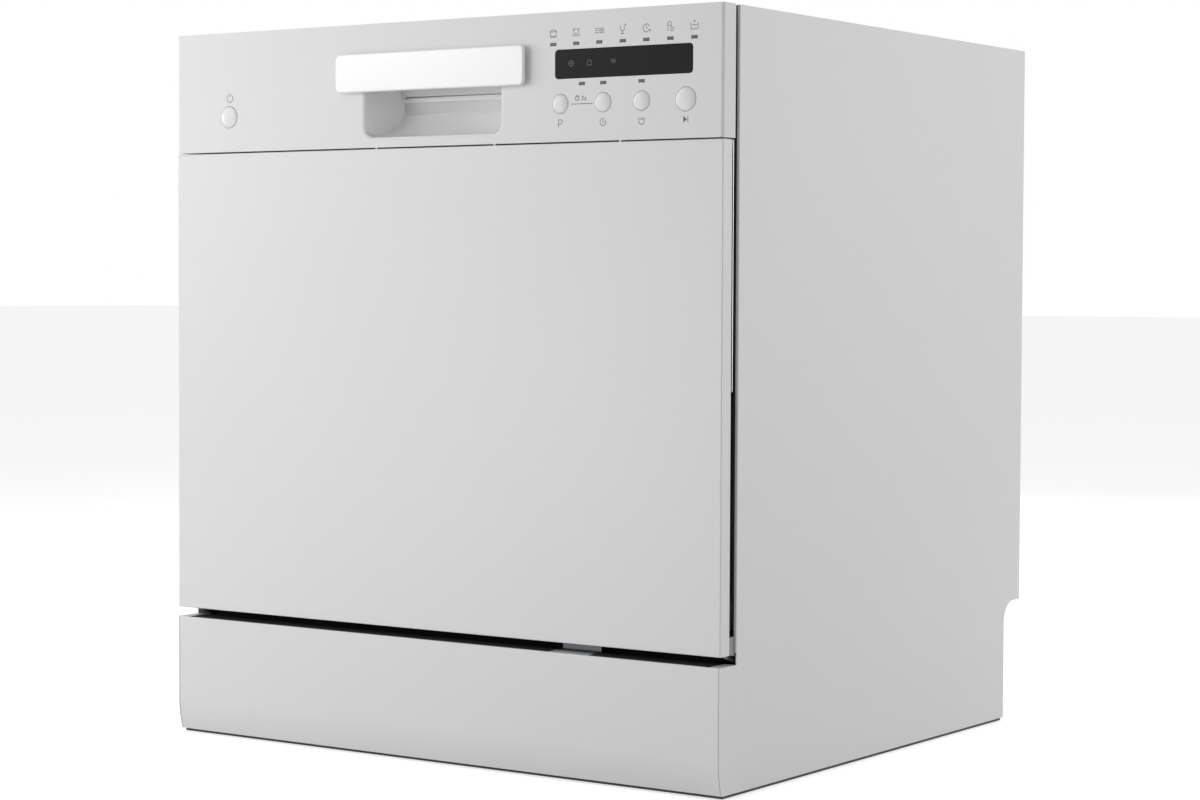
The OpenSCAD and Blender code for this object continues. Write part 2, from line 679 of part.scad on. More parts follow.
module display_window() color("#2a2a2a") at_front()
  along_y(0.1, fascia_t) rounded(display_x - display_w / 2, display_x + display_w / 2,
    display_z - display_h / 2, display_z + display_h / 2, 3);

module indicator_lenses() color("#646464") at_front() for (s = lens_spots)
  block([s[0] - lens_w / 2, 0.05, s[1] - lens_h / 2], [s[0] + lens_w / 2, fascia_t, s[1] + lens_h / 2]);

module control_board() color("#2f6b46") at_front() {
  block([board_x0, board_d, board_z0], [board_x1, board_d + board_t, board_z1]);
  block([power_x - power_board, board_d, button_z - power_board],
    [power_x + power_board, board_d + board_t, button_z + power_board]);
}

lever_d = grip_d - 2.4;
lever_z = grip_z1 - 7;
lever_pin_r = 2;
lever_x = grip_x - grip_taper - 1;
lever_bottom = bar_z - 1.6;
lever_gap = 1.2;
module release_lever() color("whitesmoke") at_front() {
  block([-lever_x, lever_d - 1, lever_bottom], [lever_x, lever_d + 1.2, lever_z + 3]);
  bar_x_at(lever_pin_r, 2 - grip_x, grip_x - 2, lever_d, lever_z);
}

claw_d = door_t - 4;
claw_z = strike_z0 + 7;
claw_t = 5;
module latch_claw() color("dimgray") at_front() difference() {
  block([-claw_x, claw_d - 3, claw_z - claw_t / 2], [claw_x, tub_front + tub_t + 7, claw_z + claw_t / 2]);
  bar_x_at(1.5 + pin_gap, -claw_x - 1, claw_x + 1, claw_d, claw_z);
}

module door_lock() color("#35373a") at_front() {
  difference() {
    block([-24, 24, strike_z0 - 2], [24, door_t - sheet, liner_z1 - sheet]);
    block([-claw_x - 1, claw_d - 5, strike_z0], [claw_x + 1, door_t, liner_z1]);
  }
  bar_x_at(1.5, -claw_x - 1 - step, claw_x + 1 + step, claw_d, claw_z);
}

module dispenser_body() color("#c9ced1") at_front() difference() {
  block([-disp_x, 20, disp_z0], [disp_x, door_t, disp_z1]);
  block([cup_x0, 26, cup_z0], [cup_x1, door_t + 1, cup_z1]);
  bar_y_at(rinse_r - 4 + free, rinse_x, 28, door_t + 1, rinse_z);
}

module dispenser_lid() color("#9fa6ab") at_front()
  along_y(door_t + free, door_t + free + 2.4) rounded(cup_x0 - 3, cup_x1 + 3, cup_z0 - 3, cup_z1 + 3, 5);

module rinse_aid_cap() color("#5d7f9a") at_front() {
  bar_y_at(rinse_r, rinse_x, door_t + free, door_t + 3, rinse_z);
  bar_y_at(rinse_r - 4, rinse_x, door_t - 10, door_t + free + step, rinse_z);
  block([rinse_x - rinse_r + 3, door_t + 3 - step, rinse_z - 2],
    [rinse_x + rinse_r - 3, door_t + 6, rinse_z + 2]);
}

// A button: a shallow dome in front, a collar behind the wall and a stem to its switch.
dome = 0.9;
dome_steps = 6;
module button(x, r) color("whitesmoke") at_front() {
  translate([x, 0, button_z]) rotate([90, 0, 0]) rotate_extrude() polygon(concat(
    [[0, -fascia_t - free - step], [r, -fascia_t - free - step]],
    [for (i = [0:dome_steps]) [r * cos(90 * i / dome_steps), dome * sin(90 * i / dome_steps)]]));
  bar_y_at(r + 1.2, x, fascia_t + free, fascia_t + free + 1.2, button_z);
  bar_y_at(2, x, fascia_t + free + 1, board_d - button_travel - free, button_z);
}

module power_button() button(power_x, big_button_r);
module program_button() button(small_buttons[0], button_r);
module delay_button() button(small_buttons[1], button_r);
module option_button() button(small_buttons[2], button_r);
module start_button() button(start_x, big_button_r);

// Racks: wire panels, drawn as flat grids.
module grid(w0, w1, h0, h1, nw, nh) difference() {
  translate([w0, h0]) square([w1 - w0, h1 - h0]);
  cw = (w1 - w0 - wire) / nw;
  ch = (h1 - h0 - wire) / nh;
  for (i = [0:nw - 1], j = [0:nh - 1])
    translate([w0 + wire + i * cw, h0 + wire + j * ch]) square([cw - wire, ch - wire]);
}

module rack(z0, z1, levels) {
  translate([0, 0, z0]) linear_extrude(wire) grid(-rack_x, rack_x, rack_front, rack_back, 8, 6);
  along_y(rack_front, rack_front + wire) grid(-rack_x, rack_x, z0, z1, 8, levels);
  along_y(rack_back - wire, rack_back) grid(-rack_x, rack_x, z0, z1, 8, levels);
  both_sides() along_x(rack_x - wire, rack_x) grid(rack_front, rack_back, z0, z1, 6, levels);
}

// A row of plate tines standing on the rack floor.
module tines(x, z0, h) for (d = [rack_front + 40:40:rack_back - 30])
  block([x, d, z0 + wire - step], [x + wire, d + wire, z0 + h]);

wheel_z = tub_z0 + wheel_r + free;
wheel_w = 10;
wheel_x = rack_x + 4;
wheel_front = rack_front + 58;
wheel_rear = rack_back - 42;
axle_r = 3;
module lower_basket() color("#d5dade") at_front() {
  rack(lower_z0, lower_z1, 3);
  for (x = [0:4]) let (x = 65 - rack_x + x * 55) {
    block([x, rack_front, lower_z0], [x + wire, rack_back, lower_z0 + wire]);
    tines(x, lower_z0, 46);
  }
  for (d = [wheel_front, wheel_rear]) both_sides() {
    block([rack_x - wire, d - 5, wheel_z - 5], [rack_x, d + 5, lower_z0 + 10]);
    bar_x_at(axle_r, rack_x - step, wheel_x + wheel_w + 1, d, wheel_z);
  }
}

module wheels(d) color("#8b959b") at_front() both_sides() difference() {
  bar_x_at(wheel_r, wheel_x, wheel_x + wheel_w, d, wheel_z);
  bar_x_at(axle_r + pin_gap, wheel_x - 1, wheel_x + wheel_w + 1, d, wheel_z);
}
module lower_front_wheels() wheels(wheel_front);
module lower_rear_wheels() wheels(wheel_rear);

cutlery_w = 72;
cutlery_x0 = rack_x - 10 - cutlery_w;
cutlery_front = rack_front + 28;
cutlery_l = 240;
cutlery_z0 = lower_z0 + wire;
cutlery_z1 = lower_z1 - 8;
module cutlery_basket() color("#7f888e") at_front() difference() {
  block([cutlery_x0, cutlery_front, cutlery_z0],
    [cutlery_x0 + cutlery_w, cutlery_front + cutlery_l, cutlery_z1]);
  for (i = [0:1], j = [0:3]) {
    cell_w = (cutlery_w - 2) / 2;
    cell_l = (cutlery_l - 2) / 4;
    block([cutlery_x0 + 2 + i * cell_w, cutlery_front + 2 + j * cell_l, cutlery_z0 + 2],
      [cutlery_x0 + (i + 1) * cell_w, cutlery_front + (j + 1) * cell_l, cutlery_z1 + 1]);
  }
}

rail_x1 = tub_x - 5;
rail_x0 = rail_x1 - 11;
rail_z = upper_z0 + 39.3;
rail_front = rack_front;
rail_back = tub_back - 9;
rail_half = roller_r + free + 2;
bracket_spots = [rack_front + 4, rack_front + 178];
module upper_rails() color("silver") at_front() both_sides() difference() {
  block([rail_x0, rail_front, rail_z - rail_half], [rail_x1, rail_back, rail_z + rail_half]);
  block([rail_x0 - 1, rail_front - 1, rail_z - roller_r - free],
    [rail_x1 - 2, rail_back + 1, rail_z + roller_r + free]);
}

module rail_brackets() color("silver") at_front() both_sides() for (d = bracket_spots) difference() {
  block([rail_x0 + 2, d, rail_z - rail_half - 3], [tub_x - tub_t, d + 40, rail_z + rail_half + 3]);
  block([rail_x0, d - 1, rail_z - rail_half - free], [rail_x1 + free, d + 41, rail_z + rail_half + free]);
}

roller_w = 7;
roller_x = rail_x0 + 1.5;
roller_front = rack_front + 178;
roller_rear = rack_back - 12;
roller_pin = 2.5;
shelf_x = 9 - rack_x;
shelf_z = upper_z0 + 68;
shelf_d0 = rack_front + 54;
shelf_d1 = rack_back - 50;
shelf_pin = 2.2;
hub_z = upper_z0 - 8;
module upper_basket() color("#d5dade") at_front() {
  rack(upper_z0, upper_z1, 3);
  for (d = [roller_front, roller_rear]) both_sides() {
    block([rack_x - wire, d - 5, rail_z - 6], [rack_x, d + 5, rail_z + 6]);
    bar_x_at(roller_pin, rack_x - step, roller_x + roller_w + 0.3, d, rail_z);
  }
  for (d = [shelf_d0, shelf_d1]) difference() {
    block([wire - rack_x - step, d, shelf_z - 4.5], [shelf_x + 4, d + 8, shelf_z + 4.5]);
    bar_y_at(shelf_pin + pin_gap, shelf_x, d - 1, d + 9, shelf_z);
  }
  block([-14, arm_d - 14, upper_z0], [14, arm_d + 14, upper_z0 + wire]);
  bar_z_at(post_r, 0, arm_d, hub_z - 14, upper_z0 + step);
  bar_z_at(post_r + 5, 0, arm_d, hub_z - 17, hub_z - 14 + step);
}

module rollers(d) color("#8b959b") at_front() both_sides() difference() {
  bar_x_at(roller_r, roller_x, roller_x + roller_w, d, rail_z);
  bar_x_at(roller_pin + pin_gap, roller_x - 1, roller_x + roller_w + 1, d, rail_z);
}
module upper_front_rollers() rollers(roller_front);
module upper_rear_rollers() rollers(roller_rear);

module upper_spray_arm() color("#aeb6bb") at_front() translate([0, arm_d, hub_z - 13.7]) difference() {
  spray_arm(upper_arm_r, arm_t);
  translate([0, 0, -1]) cylinder(r = post_r + pin_gap, h = arm_t + 2);
}

shelf_h = 72;
module cup_shelf() color("#b9c2c8") at_front() {
  bar_y_at(shelf_pin, shelf_x, shelf_d0 - 1, shelf_d1 + 9, shelf_z);
  along_x(shelf_x - 1.5, shelf_x + 1.5) difference() {
    translate([shelf_d0 + 10, shelf_z]) square([shelf_d1 - shelf_d0 - 12, shelf_h]);
    for (d = [shelf_d0 + 18:32:shelf_d1 - 24]) translate([d, shelf_z + 14]) square([24, shelf_h - 24]);
  }
}

cabinet_wrap();
back_panel();
base_tray();
plinth_panel();
feet();
case_screws();
tub();
door_seals();
side_trims();
front_brackets();
door_springs();
latch_strike();
rail_brackets();
sump();
coarse_filter();
micro_filter();
wash_pump_housing();
wash_impeller();
wash_motor();
drain_pump();
flow_heater();
softener_tank();
salt_cap();
float_switch_dome();
wash_manifold();
lower_spray_arm();
inlet_valve();
drain_outlet();
cable_gland();
air_break();
door_outer_panel();
door_inner_liner();
control_fascia();
handle_bar();
display_window();
indicator_lenses();
control_board();
door_lock();
hinge_arms();
dispenser_body();
dispenser_lid();
rinse_aid_cap();
inner_door_screws();
release_lever();
latch_claw();
power_button();
program_button();
delay_button();
option_button();
start_button();
upper_basket();
upper_front_rollers();
upper_rear_rollers();
upper_rails();
upper_spray_arm();
cup_shelf();
lower_basket();
lower_front_wheels();
lower_rear_wheels();
cutlery_basket();
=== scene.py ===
"""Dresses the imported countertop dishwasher: white cabinet, drop-down door, wire baskets and spray arms.

Everything is in metres in the CAD frame. The part's sizes are written in millimetres and multiplied by MM.
Depths are measured back from the front plane of the door, as in the part's source.
"""
import json
import math

import bmesh
import bpy
from mathutils import Matrix, Vector


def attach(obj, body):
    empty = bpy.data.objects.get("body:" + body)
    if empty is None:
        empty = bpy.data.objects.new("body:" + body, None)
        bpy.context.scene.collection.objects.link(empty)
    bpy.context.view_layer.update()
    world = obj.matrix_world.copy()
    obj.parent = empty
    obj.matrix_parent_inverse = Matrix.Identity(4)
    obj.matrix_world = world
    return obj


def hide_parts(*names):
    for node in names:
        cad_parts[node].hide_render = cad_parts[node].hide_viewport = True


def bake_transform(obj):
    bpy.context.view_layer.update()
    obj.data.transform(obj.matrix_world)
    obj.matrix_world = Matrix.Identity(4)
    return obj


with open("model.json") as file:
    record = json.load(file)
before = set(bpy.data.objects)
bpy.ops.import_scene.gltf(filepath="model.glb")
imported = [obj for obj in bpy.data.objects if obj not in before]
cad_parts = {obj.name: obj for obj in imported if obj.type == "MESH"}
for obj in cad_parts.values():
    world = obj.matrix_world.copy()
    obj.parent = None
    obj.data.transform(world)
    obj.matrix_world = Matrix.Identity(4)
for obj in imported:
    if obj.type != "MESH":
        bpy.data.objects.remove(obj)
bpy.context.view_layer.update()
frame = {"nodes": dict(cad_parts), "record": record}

MM = 0.001
FRONT_Y = -247
NODES = frame["nodes"]
RECORD = frame["record"]
BODY_OF = {node: body for body, nodes in RECORD["behaviour"]["bodies"].items() for node in nodes}
SLOT_OF = {part["node"]: part["material_slot"] for part in RECORD["subparts"]}


def at(x, depth, z):
    """A point from its millimetres across, behind the front plane and above the worktop."""
    return Vector((x, depth + FRONT_Y, z)) * MM


# ---------------- camera and studio

PHOTO_WIDTH = 1200
FOCAL_PX = 2735.8
PRINCIPAL_OFF_PX = 40
SENSOR_MM = 36
CAMERA_PLACE = (1.3626, -1.9621, 0.3866)
CAMERA_TURN = 34.09
CAMERA_TILT = 87.565
CAMERA_ROLL = 0.278


def make_camera():
    """The camera fitted to the photograph's straight edges."""
    data = bpy.data.cameras.new("camera")
    data.sensor_width = SENSOR_MM
    data.lens = FOCAL_PX / PHOTO_WIDTH * SENSOR_MM
    data.shift_x = -PRINCIPAL_OFF_PX / PHOTO_WIDTH
    camera = bpy.data.objects.new("camera", data)
    turn = Matrix.Rotation(math.radians(CAMERA_TURN), 4, "Z")
    tilt = Matrix.Rotation(math.radians(CAMERA_TILT), 4, "X")
    roll = Matrix.Rotation(math.radians(CAMERA_ROLL), 4, "Z")
    camera.matrix_world = Matrix.Translation(CAMERA_PLACE) @ turn @ tilt @ roll
    bpy.context.scene.collection.objects.link(camera)
    bpy.context.scene.camera = camera


def hex_rgba(code):
    """An sRGB hex colour as the linear values that the sockets take."""
    parts = [int(code[i:i + 2], 16) / 255 for i in (0, 2, 4)]
    return tuple(c / 12.92 if c <= 0.04045 else ((c + 0.055) / 1.055) ** 2.4 for c in parts) + (1.0,)


def add(tree, kind, links=None, **settings):
    """Adds a node, with its settings, and its inputs as values or as other nodes' outputs."""
    node = tree.nodes.new(kind)
    for key, value in settings.items():
        setattr(node, key, value)
    for key, value in (links or {}).items():
        if isinstance(value, bpy.types.NodeSocket):
            tree.links.new(value, node.inputs[key])
        else:
            node.inputs[key].default_value = value
    return node


def seen_directly(tree):
    """One where a ray comes from the camera, a mirror or glass, otherwise zero."""
    path = add(tree, "ShaderNodeLightPath").outputs
    seen = path["Is Camera Ray"]
    for ray in ("Is Glossy Ray", "Is Transmission Ray"):
        seen = add(tree, "ShaderNodeMath", {0: seen, 1: path[ray]}, operation="MAXIMUM").outputs[0]
    return seen


WHITE = "FFFFFF"
PAPER_GREY = "D8D8D8"
FILL_LIGHT = 0.46
FLOOR_LIFT = 0.6
FLOOR_REACH = 30


def make_studio():
    """A white floor that keeps the shadow, a white surround, and soft lamps at a plain level."""
    world = bpy.data.worlds.new("studio")
    bpy.context.scene.world = world
    world.use_nodes = True
    tree = world.node_tree
    tree.nodes.clear()
    light = add(tree, "ShaderNodeBackground", {"Color": hex_rgba(WHITE), "Strength": FILL_LIGHT})
    white = add(tree, "ShaderNodeBackground", {"Color": hex_rgba(WHITE), "Strength": 1.0})
    pick = add(tree, "ShaderNodeMixShader",
               {0: seen_directly(tree), 1: light.outputs[0], 2: white.outputs[0]})
    add(tree, "ShaderNodeOutputWorld", {"Surface": pick.outputs[0]})

    paper = bpy.data.materials.new("studio_paper")
    paper.use_nodes = True
    tree = paper.node_tree
    tree.nodes.clear()
    matt = add(tree, "ShaderNodeBsdfDiffuse", {"Color": hex_rgba(PAPER_GREY)})
    lift = add(tree, "ShaderNodeMath", {0: seen_directly(tree), 1: FLOOR_LIFT}, operation="MULTIPLY")
    glow = add(tree, "ShaderNodeEmission", {"Color": hex_rgba(WHITE), "Strength": lift.outputs[0]})
    both = add(tree, "ShaderNodeAddShader", {0: matt.outputs[0], 1: glow.outputs[0]})
    add(tree, "ShaderNodeOutputMaterial", {"Surface": both.outputs[0]})
    mesh = bpy.data.meshes.new("floor")
    corners = [(x * FLOOR_REACH, y * FLOOR_REACH, 0) for x, y in ((-1, -1), (1, -1), (1, 1), (-1, 1))]
    mesh.from_pydata(corners, [], [(0, 1, 2, 3)])
    mesh.materials.append(paper)
    floor = bpy.data.objects.new("floor", mesh)
    bpy.context.scene.collection.objects.link(floor)

    lamps = [
        # name, place, aimed at, size, power in watts
        ("key_left", (-1.8, -1.05, 0.6), (-0.05, -0.247, 0.36), 0.7, 8.4),
        ("front_high", (-1.05, -1.45, 0.95), (-0.05, -0.247, 0.45), 0.7, 4.6),
        ("front_low", (-0.95, -1.85, 0.12), (0.0, -0.2, 0.45), 0.8, 6.5),
        ("side_right", (2.0, 1.3, 0.8), (0.27, 0.0, 0.28), 2.2, 16.0),
        ("back_soft", (-0.6, 2.2, 1.3), (0.0, 0.2, 0.3), 1.4, 8.0),
        ("top_soft", (0.1, 0.2, 2.5), (0.0, 0.0, 0.6), 1.6, 7.0),
    ]
    for name, place, target, size, power in lamps:
        data = bpy.data.lights.new(name, "AREA")
        data.shape = "DISK"
        data.size = size
        data.energy = power
        lamp = bpy.data.objects.new(name, data)
        lamp.location = place
        lamp.rotation_euler = (Vector(target) - Vector(place)).to_track_quat("-Z", "Y").to_euler()
        bpy.context.scene.collection.objects.link(lamp)
    bpy.context.scene.view_settings.view_transform = "Standard"


make_camera()
make_studio()

# ---------------- materials


def start_material(name):
    """A new material with its object coordinates and its shader."""
    material = bpy.data.materials.new(name)
    material.use_nodes = True
    tree = material.node_tree
    tree.nodes.clear()
    place = add(tree, "ShaderNodeTexCoord").outputs["Object"]
    shader = add(tree, "ShaderNodeBsdfPrincipled")
    add(tree, "ShaderNodeOutputMaterial", {"Surface": shader.outputs[0]})
    return material, tree, place, shader


def surface(name, shades, rough, grain, depth, blotch=40, metal=False, stretch=(1, 1, 1), **sockets):
    """A finish from two close shades and a roughness range, with a grain and its depth in millimetres.

    The shades drift over blotches of the given millimetres. stretch draws the grain out along an axis.
    """
    material, tree, place, shader = start_material(name)
    drift = add(tree, "ShaderNodeTexNoise", {"Vector": place, "Scale": 1 / (blotch * MM), "Detail": 3.0})
    colour = add(tree, "ShaderNodeMix",
                 {0: drift.outputs["Fac"], 6: hex_rgba(shades[0]), 7: hex_rgba(shades[1])}, data_type="RGBA")
    tree.links.new(colour.outputs[2], shader.inputs["Base Color"])
    drawn_out = add(tree, "ShaderNodeMapping", {"Vector": place, "Scale": stretch})
    fine = add(tree, "ShaderNodeTexNoise",
               {"Vector": drawn_out.outputs[0], "Scale": 1 / (grain * MM), "Detail": 4.0, "Roughness": 0.6})
    spread = add(tree, "ShaderNodeMapRange",
                 {"Value": fine.outputs["Fac"], "To Min": rough[0], "To Max": rough[1]})
    tree.links.new(spread.outputs[0], shader.inputs["Roughness"])
    bump = add(tree, "ShaderNodeBump",
               {"Height": fine.outputs["Fac"], "Distance": depth * MM, "Strength": 0.6})
    tree.links.new(bump.outputs[0], shader.inputs["Normal"])
    if metal:
        shader.inputs["Metallic"].default_value = 1.0
    for key, value in sockets.items():
        shader.inputs[key.replace("_", " ")].default_value = value
    return material


MATERIALS = {
    # Baked enamel on folded steel: an even satin white with a faint orange peel.
    "white_sheet": surface(
        "baked_white_enamel", ("E2E2E2", "E4E4E4"), (0.34, 0.42), 2.2, 0.012, 120, IOR=1.52),
    # Moulded ABS, spark-eroded mould: the same white, a little duller and finer.
    "white_plastic": surface(
        "moulded_white_abs", ("E2E2E2", "E4E4E4"), (0.42, 0.52), 0.9, 0.01, 90, IOR=1.53),
    # Polished ABS: brighter white with a soft clear gloss.
    "gloss_white": surface(
        "polished_white_abs", ("FAFAFA", "FCFCFC"), (0.2, 0.28), 3.0, 0.006, 60, IOR=1.53, Coat_Weight=0.6,
        Coat_Roughness=0.22),
    # Moulded ABS buttons: fine satin, glossier than the fascia and hardly lighter.
    "button_plastic": surface(
        "satin_button_abs", ("E2E2E2", "E6E6E6"), (0.26, 0.34), 0.8, 0.006, 20, IOR=1.53),
    # Black acrylic, cast and polished: a dark flat sheen.
    "display_acrylic": surface(
        "black_cast_acrylic", ("151515", "171717"), (0.3, 0.36), 2.0, 0.002, 30, IOR=1.49,
        Specular_IOR_Level=0.1),
    # Smoked polycarbonate light guides: small dark grey lozenges.
    "lens_plastic": surface(
        "smoked_polycarbonate", ("363636", "3E3E3E"), (0.25, 0.35), 0.6, 0.004, 3, IOR=1.58),
    # Stainless sheet, brushed across the machine: fine streaks and a soft broad sheen.
    "stainless": surface(
        "brushed_stainless", ("BDBEBE", "C9CACA"), (0.24, 0.4), 0.8, 0.006, 80, metal=True,
        stretch=(0.02, 1, 1), Anisotropic=0.4),
    # Zinc plated steel: cool grey with cloudy spangle.
    "zinc_steel": surface(
        "zinc_plated_steel", ("9EA2A6", "B4B7BA"), (0.36, 0.52), 4.0, 0.008, 14, metal=True),
    # Moulded polypropylene, black: dull with a leathery mould grain.
    "black_plastic": surface(
        "black_polypropylene", ("1B1B1C", "222223"), (0.5, 0.62), 1.1, 0.03, 30, IOR=1.49),
    # Glass filled nylon: dark grey, mottled by its fibres.
    "dark_plastic": surface(
        "glass_filled_nylon", ("2E3033", "3A3C40"), (0.48, 0.62), 0.8, 0.02, 6, IOR=1.53),
    # Extruded EPDM rubber: soft black with a bloom.
    "rubber": surface(
        "extruded_epdm_rubber", ("262627", "303031"), (0.62, 0.78), 0.7, 0.02, 18, IOR=1.5),
    # Natural polypropylene: milky white that lets a little light in.
    "light_polypropylene": surface(
        "natural_polypropylene", ("DEDED8", "E8E8E3"), (0.38, 0.5), 1.4, 0.02, 35, IOR=1.49,
        Subsurface_Weight=0.15, Subsurface_Scale=0.004),
    # Grey moulded polypropylene: satin, with faint flow marks.
    "grey_plastic": surface(
        "grey_polypropylene", ("9AA1A5", "A4AAAE"), (0.36, 0.48), 1.0, 0.012, 25, IOR=1.49),
    # Blue moulded polypropylene of the rinse aid cap: a soft satin.
    "blue_plastic": surface(
        "blue_polypropylene", ("54728C", "5E7C96"), (0.34, 0.46), 0.9, 0.01, 12, IOR=1.49),
    # Nylon coated wire: pale grey, waxy, with slight runs in the coating.
    "coated_wire": surface(
        "nylon_coated_wire", ("C6CBCF", "D2D6D9"), (0.28, 0.4), 2.4, 0.05, 8, IOR=1.53),
    # Glass fibre board under green solder mask: glossy and slightly uneven.
    "board": surface(
        "solder_masked_board", ("24543A", "2F6B48"), (0.22, 0.34), 1.2, 0.02, 4, IOR=1.52),
}

# Screen printed ink on the fascia: dark grey, quite flat.
INK = surface("printed_grey_ink", ("5E5E5E", "686868"), (0.5, 0.6), 0.4, 0.002, 2, IOR=1.5)
# Unlit symbols behind the dark display: a shade above the acrylic.
DIM_INK = surface("unlit_display_mark", ("444444", "4A4A4A"), (0.35, 0.45), 0.4, 0.002, 2, IOR=1.5)
# Zinc plate left unpolished: a flat mid grey, darkened further as painted shade where the brackets show in
# the shade under the door.
SHADED_DULL_ZINC = surface("dull_zinc_plate_in_painted_shade", ("76797C", "84878A"), (0.52, 0.66), 4.0, 0.008, 14, metal=True)

for node, obj in NODES.items():
    for held in obj.material_slots:
        held.material = MATERIALS[SLOT_OF[node]]

# ---------------- mesh helpers

SOFT_ANGLE = math.radians(32)
ROUNDED_ANGLE = math.radians(25)
BROKEN_ANGLE = math.radians(40)
FLAT_ANGLE = math.radians(0.6)
CORNER_WELD = 0.001 * MM
SLIVER_WELD = 0.002 * MM
# Millimetres within which a corner, or an edge's end, counts as lying at a place.
CLOSE = 0.1
EDGE_SLACK = 0.05
AXES = {"x": 0, "d": 1, "z": 2}


def in_mm(point):
    """A point's millimetres across, behind the front plane and above the worktop, the reverse of at."""
    return point.x / MM, point.y / MM - FRONT_Y, point.z / MM


def as_mesh(name, skin):
    """A mesh with the faces of a skin, which is used up."""
    mesh = bpy.data.meshes.new(name)
    skin.to_mesh(mesh)
    skin.free()
    return mesh


def piece(name, mesh, body, slot, material=None, node=None):
    """Shows a finished mesh as a piece with its slot's finish, on a body if one is given."""
    obj = bpy.data.objects.new(name, mesh)
    bpy.context.scene.collection.objects.link(obj)
    mesh.materials.clear()
    mesh.materials.append(material or MATERIALS[slot])
    mesh.shade_smooth()
    mesh.set_sharp_from_angle(angle=SOFT_ANGLE)
    if body:
        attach(obj, body)
    if node:
        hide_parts(node)
    return obj


def close_slivers(obj):
    """Joins corners that rounding has left on one another, so no face is without area."""
    weld = obj.modifiers.new("close_slivers", "WELD")
    weld.merge_threshold = SLIVER_WELD


def keep_flats_flat(obj):
    """Lets the large faces own the normals, so only the bends are shaded round."""
    normals = obj.modifiers.new("flat_faces", "WEIGHTED_NORMAL")
    normals.keep_sharp = True
    normals.weight = 100


def break_edges(obj, width):
    """Breaks every edge that is still sharp, by a width in millimetres."""
    edge = obj.modifiers.new("broken_edges", "BEVEL")
    edge.width = width * MM
    edge.segments = 2
    edge.limit_method = "ANGLE"
    edge.angle_limit = BROKEN_ANGLE


def cad_copy(node):
    """A CAD node's mesh as one welded skin with its flat faces joined."""
    skin = bmesh.new()
    skin.from_mesh(NODES[node].data)
    bmesh.ops.remove_doubles(skin, verts=skin.verts, dist=CORNER_WELD)
    bmesh.ops.dissolve_limit(skin, angle_limit=FLAT_ANGLE, verts=skin.verts, edges=skin.edges)
    bmesh.ops.connect_verts_concave(skin, faces=skin.faces)
    return skin


def round_edges(skin, wanted, radius, steps=3, clamp=True):
    """Rounds the sharp edges whose two ends, in millimetres with depth, pass the test."""
    chosen = []
    for edge in skin.edges:
        if len(edge.link_faces) != 2 or edge.calc_face_angle() < ROUNDED_ANGLE:
            continue
        if wanted(*(in_mm(vert.co) for vert in edge.verts)):
            chosen.append(edge)
    if chosen:
        bmesh.ops.bevel(skin, geom=chosen, offset=radius * MM, segments=steps, profile=0.5, affect="EDGES",
                        clamp_overlap=clamp)


def softened(node, *rounds, rest=0.25, nudge=None, material=None):
    """A copy of a CAD node with chosen edges rounded, and every other sharp edge just broken.

    Each of the rounds gives its test, radius, steps and, if not true, whether it is clamped.
    nudge moves a corner a little first: it takes and gives its millimetres across, in depth and up.
    """
    skin = cad_copy(node)
    if nudge:
        for vert in skin.verts:
            x, y, z = vert.co / MM
            vert.co = at(*nudge(x, y - FRONT_Y, z))
    for wanted, radius, steps, *clamp in rounds:
        round_edges(skin, wanted, radius, steps, *clamp)
    name = node + "_soft"
    obj = piece(name, as_mesh(name, skin), BODY_OF[node], SLOT_OF[node], material=material, node=node)
    if rest:
        break_edges(obj, rest)
    close_slivers(obj)
    keep_flats_flat(obj)
    return obj


def both_near(**places):
    """A test that both ends of an edge lie at the given x, d and z, of either sign."""
    return lambda a, b: all(abs(abs(end[AXES[axis]]) - abs(place)) < EDGE_SLACK
                            for axis, place in places.items() for end in (a, b))


def both_tests(*tests):
    """A test that passes where all of the given tests do."""
    return lambda a, b: all(test(a, b) for test in tests)


def any_of(*tests):
    """A test that passes where one of the given tests does."""
    return lambda a, b: any(test(a, b) for test in tests)


def along(axis, least=20):
    """A test that an edge runs along an axis for more than so many millimetres."""
    return lambda a, b: abs(a[AXES[axis]] - b[AXES[axis]]) > least


def box_into(skin, low, high):
    """Adds a block between two corners in millimetres with depth."""
    lo, hi = at(*low), at(*high)
    centre, size = (lo + hi) / 2, hi - lo
    place = Matrix.Translation(centre) @ Matrix.Diagonal((*size, 1))
    bmesh.ops.create_cube(skin, size=1, matrix=place)


def rod_into(skin, start, end, radius, steps=20):
    """Adds a round bar between two points in millimetres with depth."""
    a, b = at(*start), at(*end)
    turn = (b - a).to_track_quat("Z", "Y").to_matrix().to_4x4()
    place = Matrix.Translation((a + b) / 2) @ turn
    bmesh.ops.create_cone(skin, cap_ends=True, segments=steps, radius1=radius * MM, radius2=radius * MM,
                          depth=(b - a).length, matrix=place)


def built(name, skin, body, slot, edge=0.3, node=None):
    """Finishes a piece from blocks and rods, with its edges broken."""
    obj = piece(name, as_mesh(name, skin), body, slot, node=node)
    if edge:
        break_edges(obj, edge)
    keep_flats_flat(obj)
    return obj


def slab_into(skin, x0, x1, z0, z1, corner, d0, d1, turns=6):
    """Adds a plate between two depths, with round corners, in millimetres."""
    outline = []
    for x, z, start in ((x1, z0, -90), (x1, z1, 0), (x0, z1, 90), (x0, z0, 180)):
        cx = x - corner if x == x1 else x + corner
        cz = z - corner if z == z1 else z + corner
        for i in range(turns + 1):
            a = math.radians(start + 90 * i / turns)
            outline.append((cx + corner * math.cos(a), cz + corner * math.sin(a)))
    front = [skin.verts.new(at(x, d0, z)) for x, z in outline]
    back = [skin.verts.new(at(x, d1, z)) for x, z in outline]
    skin.faces.new(front)
    skin.faces.new(back[::-1])
    for i in range(len(outline)):
        j = (i + 1) % len(outline)
        skin.faces.new((front[j], front[i], back[i], back[j]))


# ---------------- cabinet and door shells

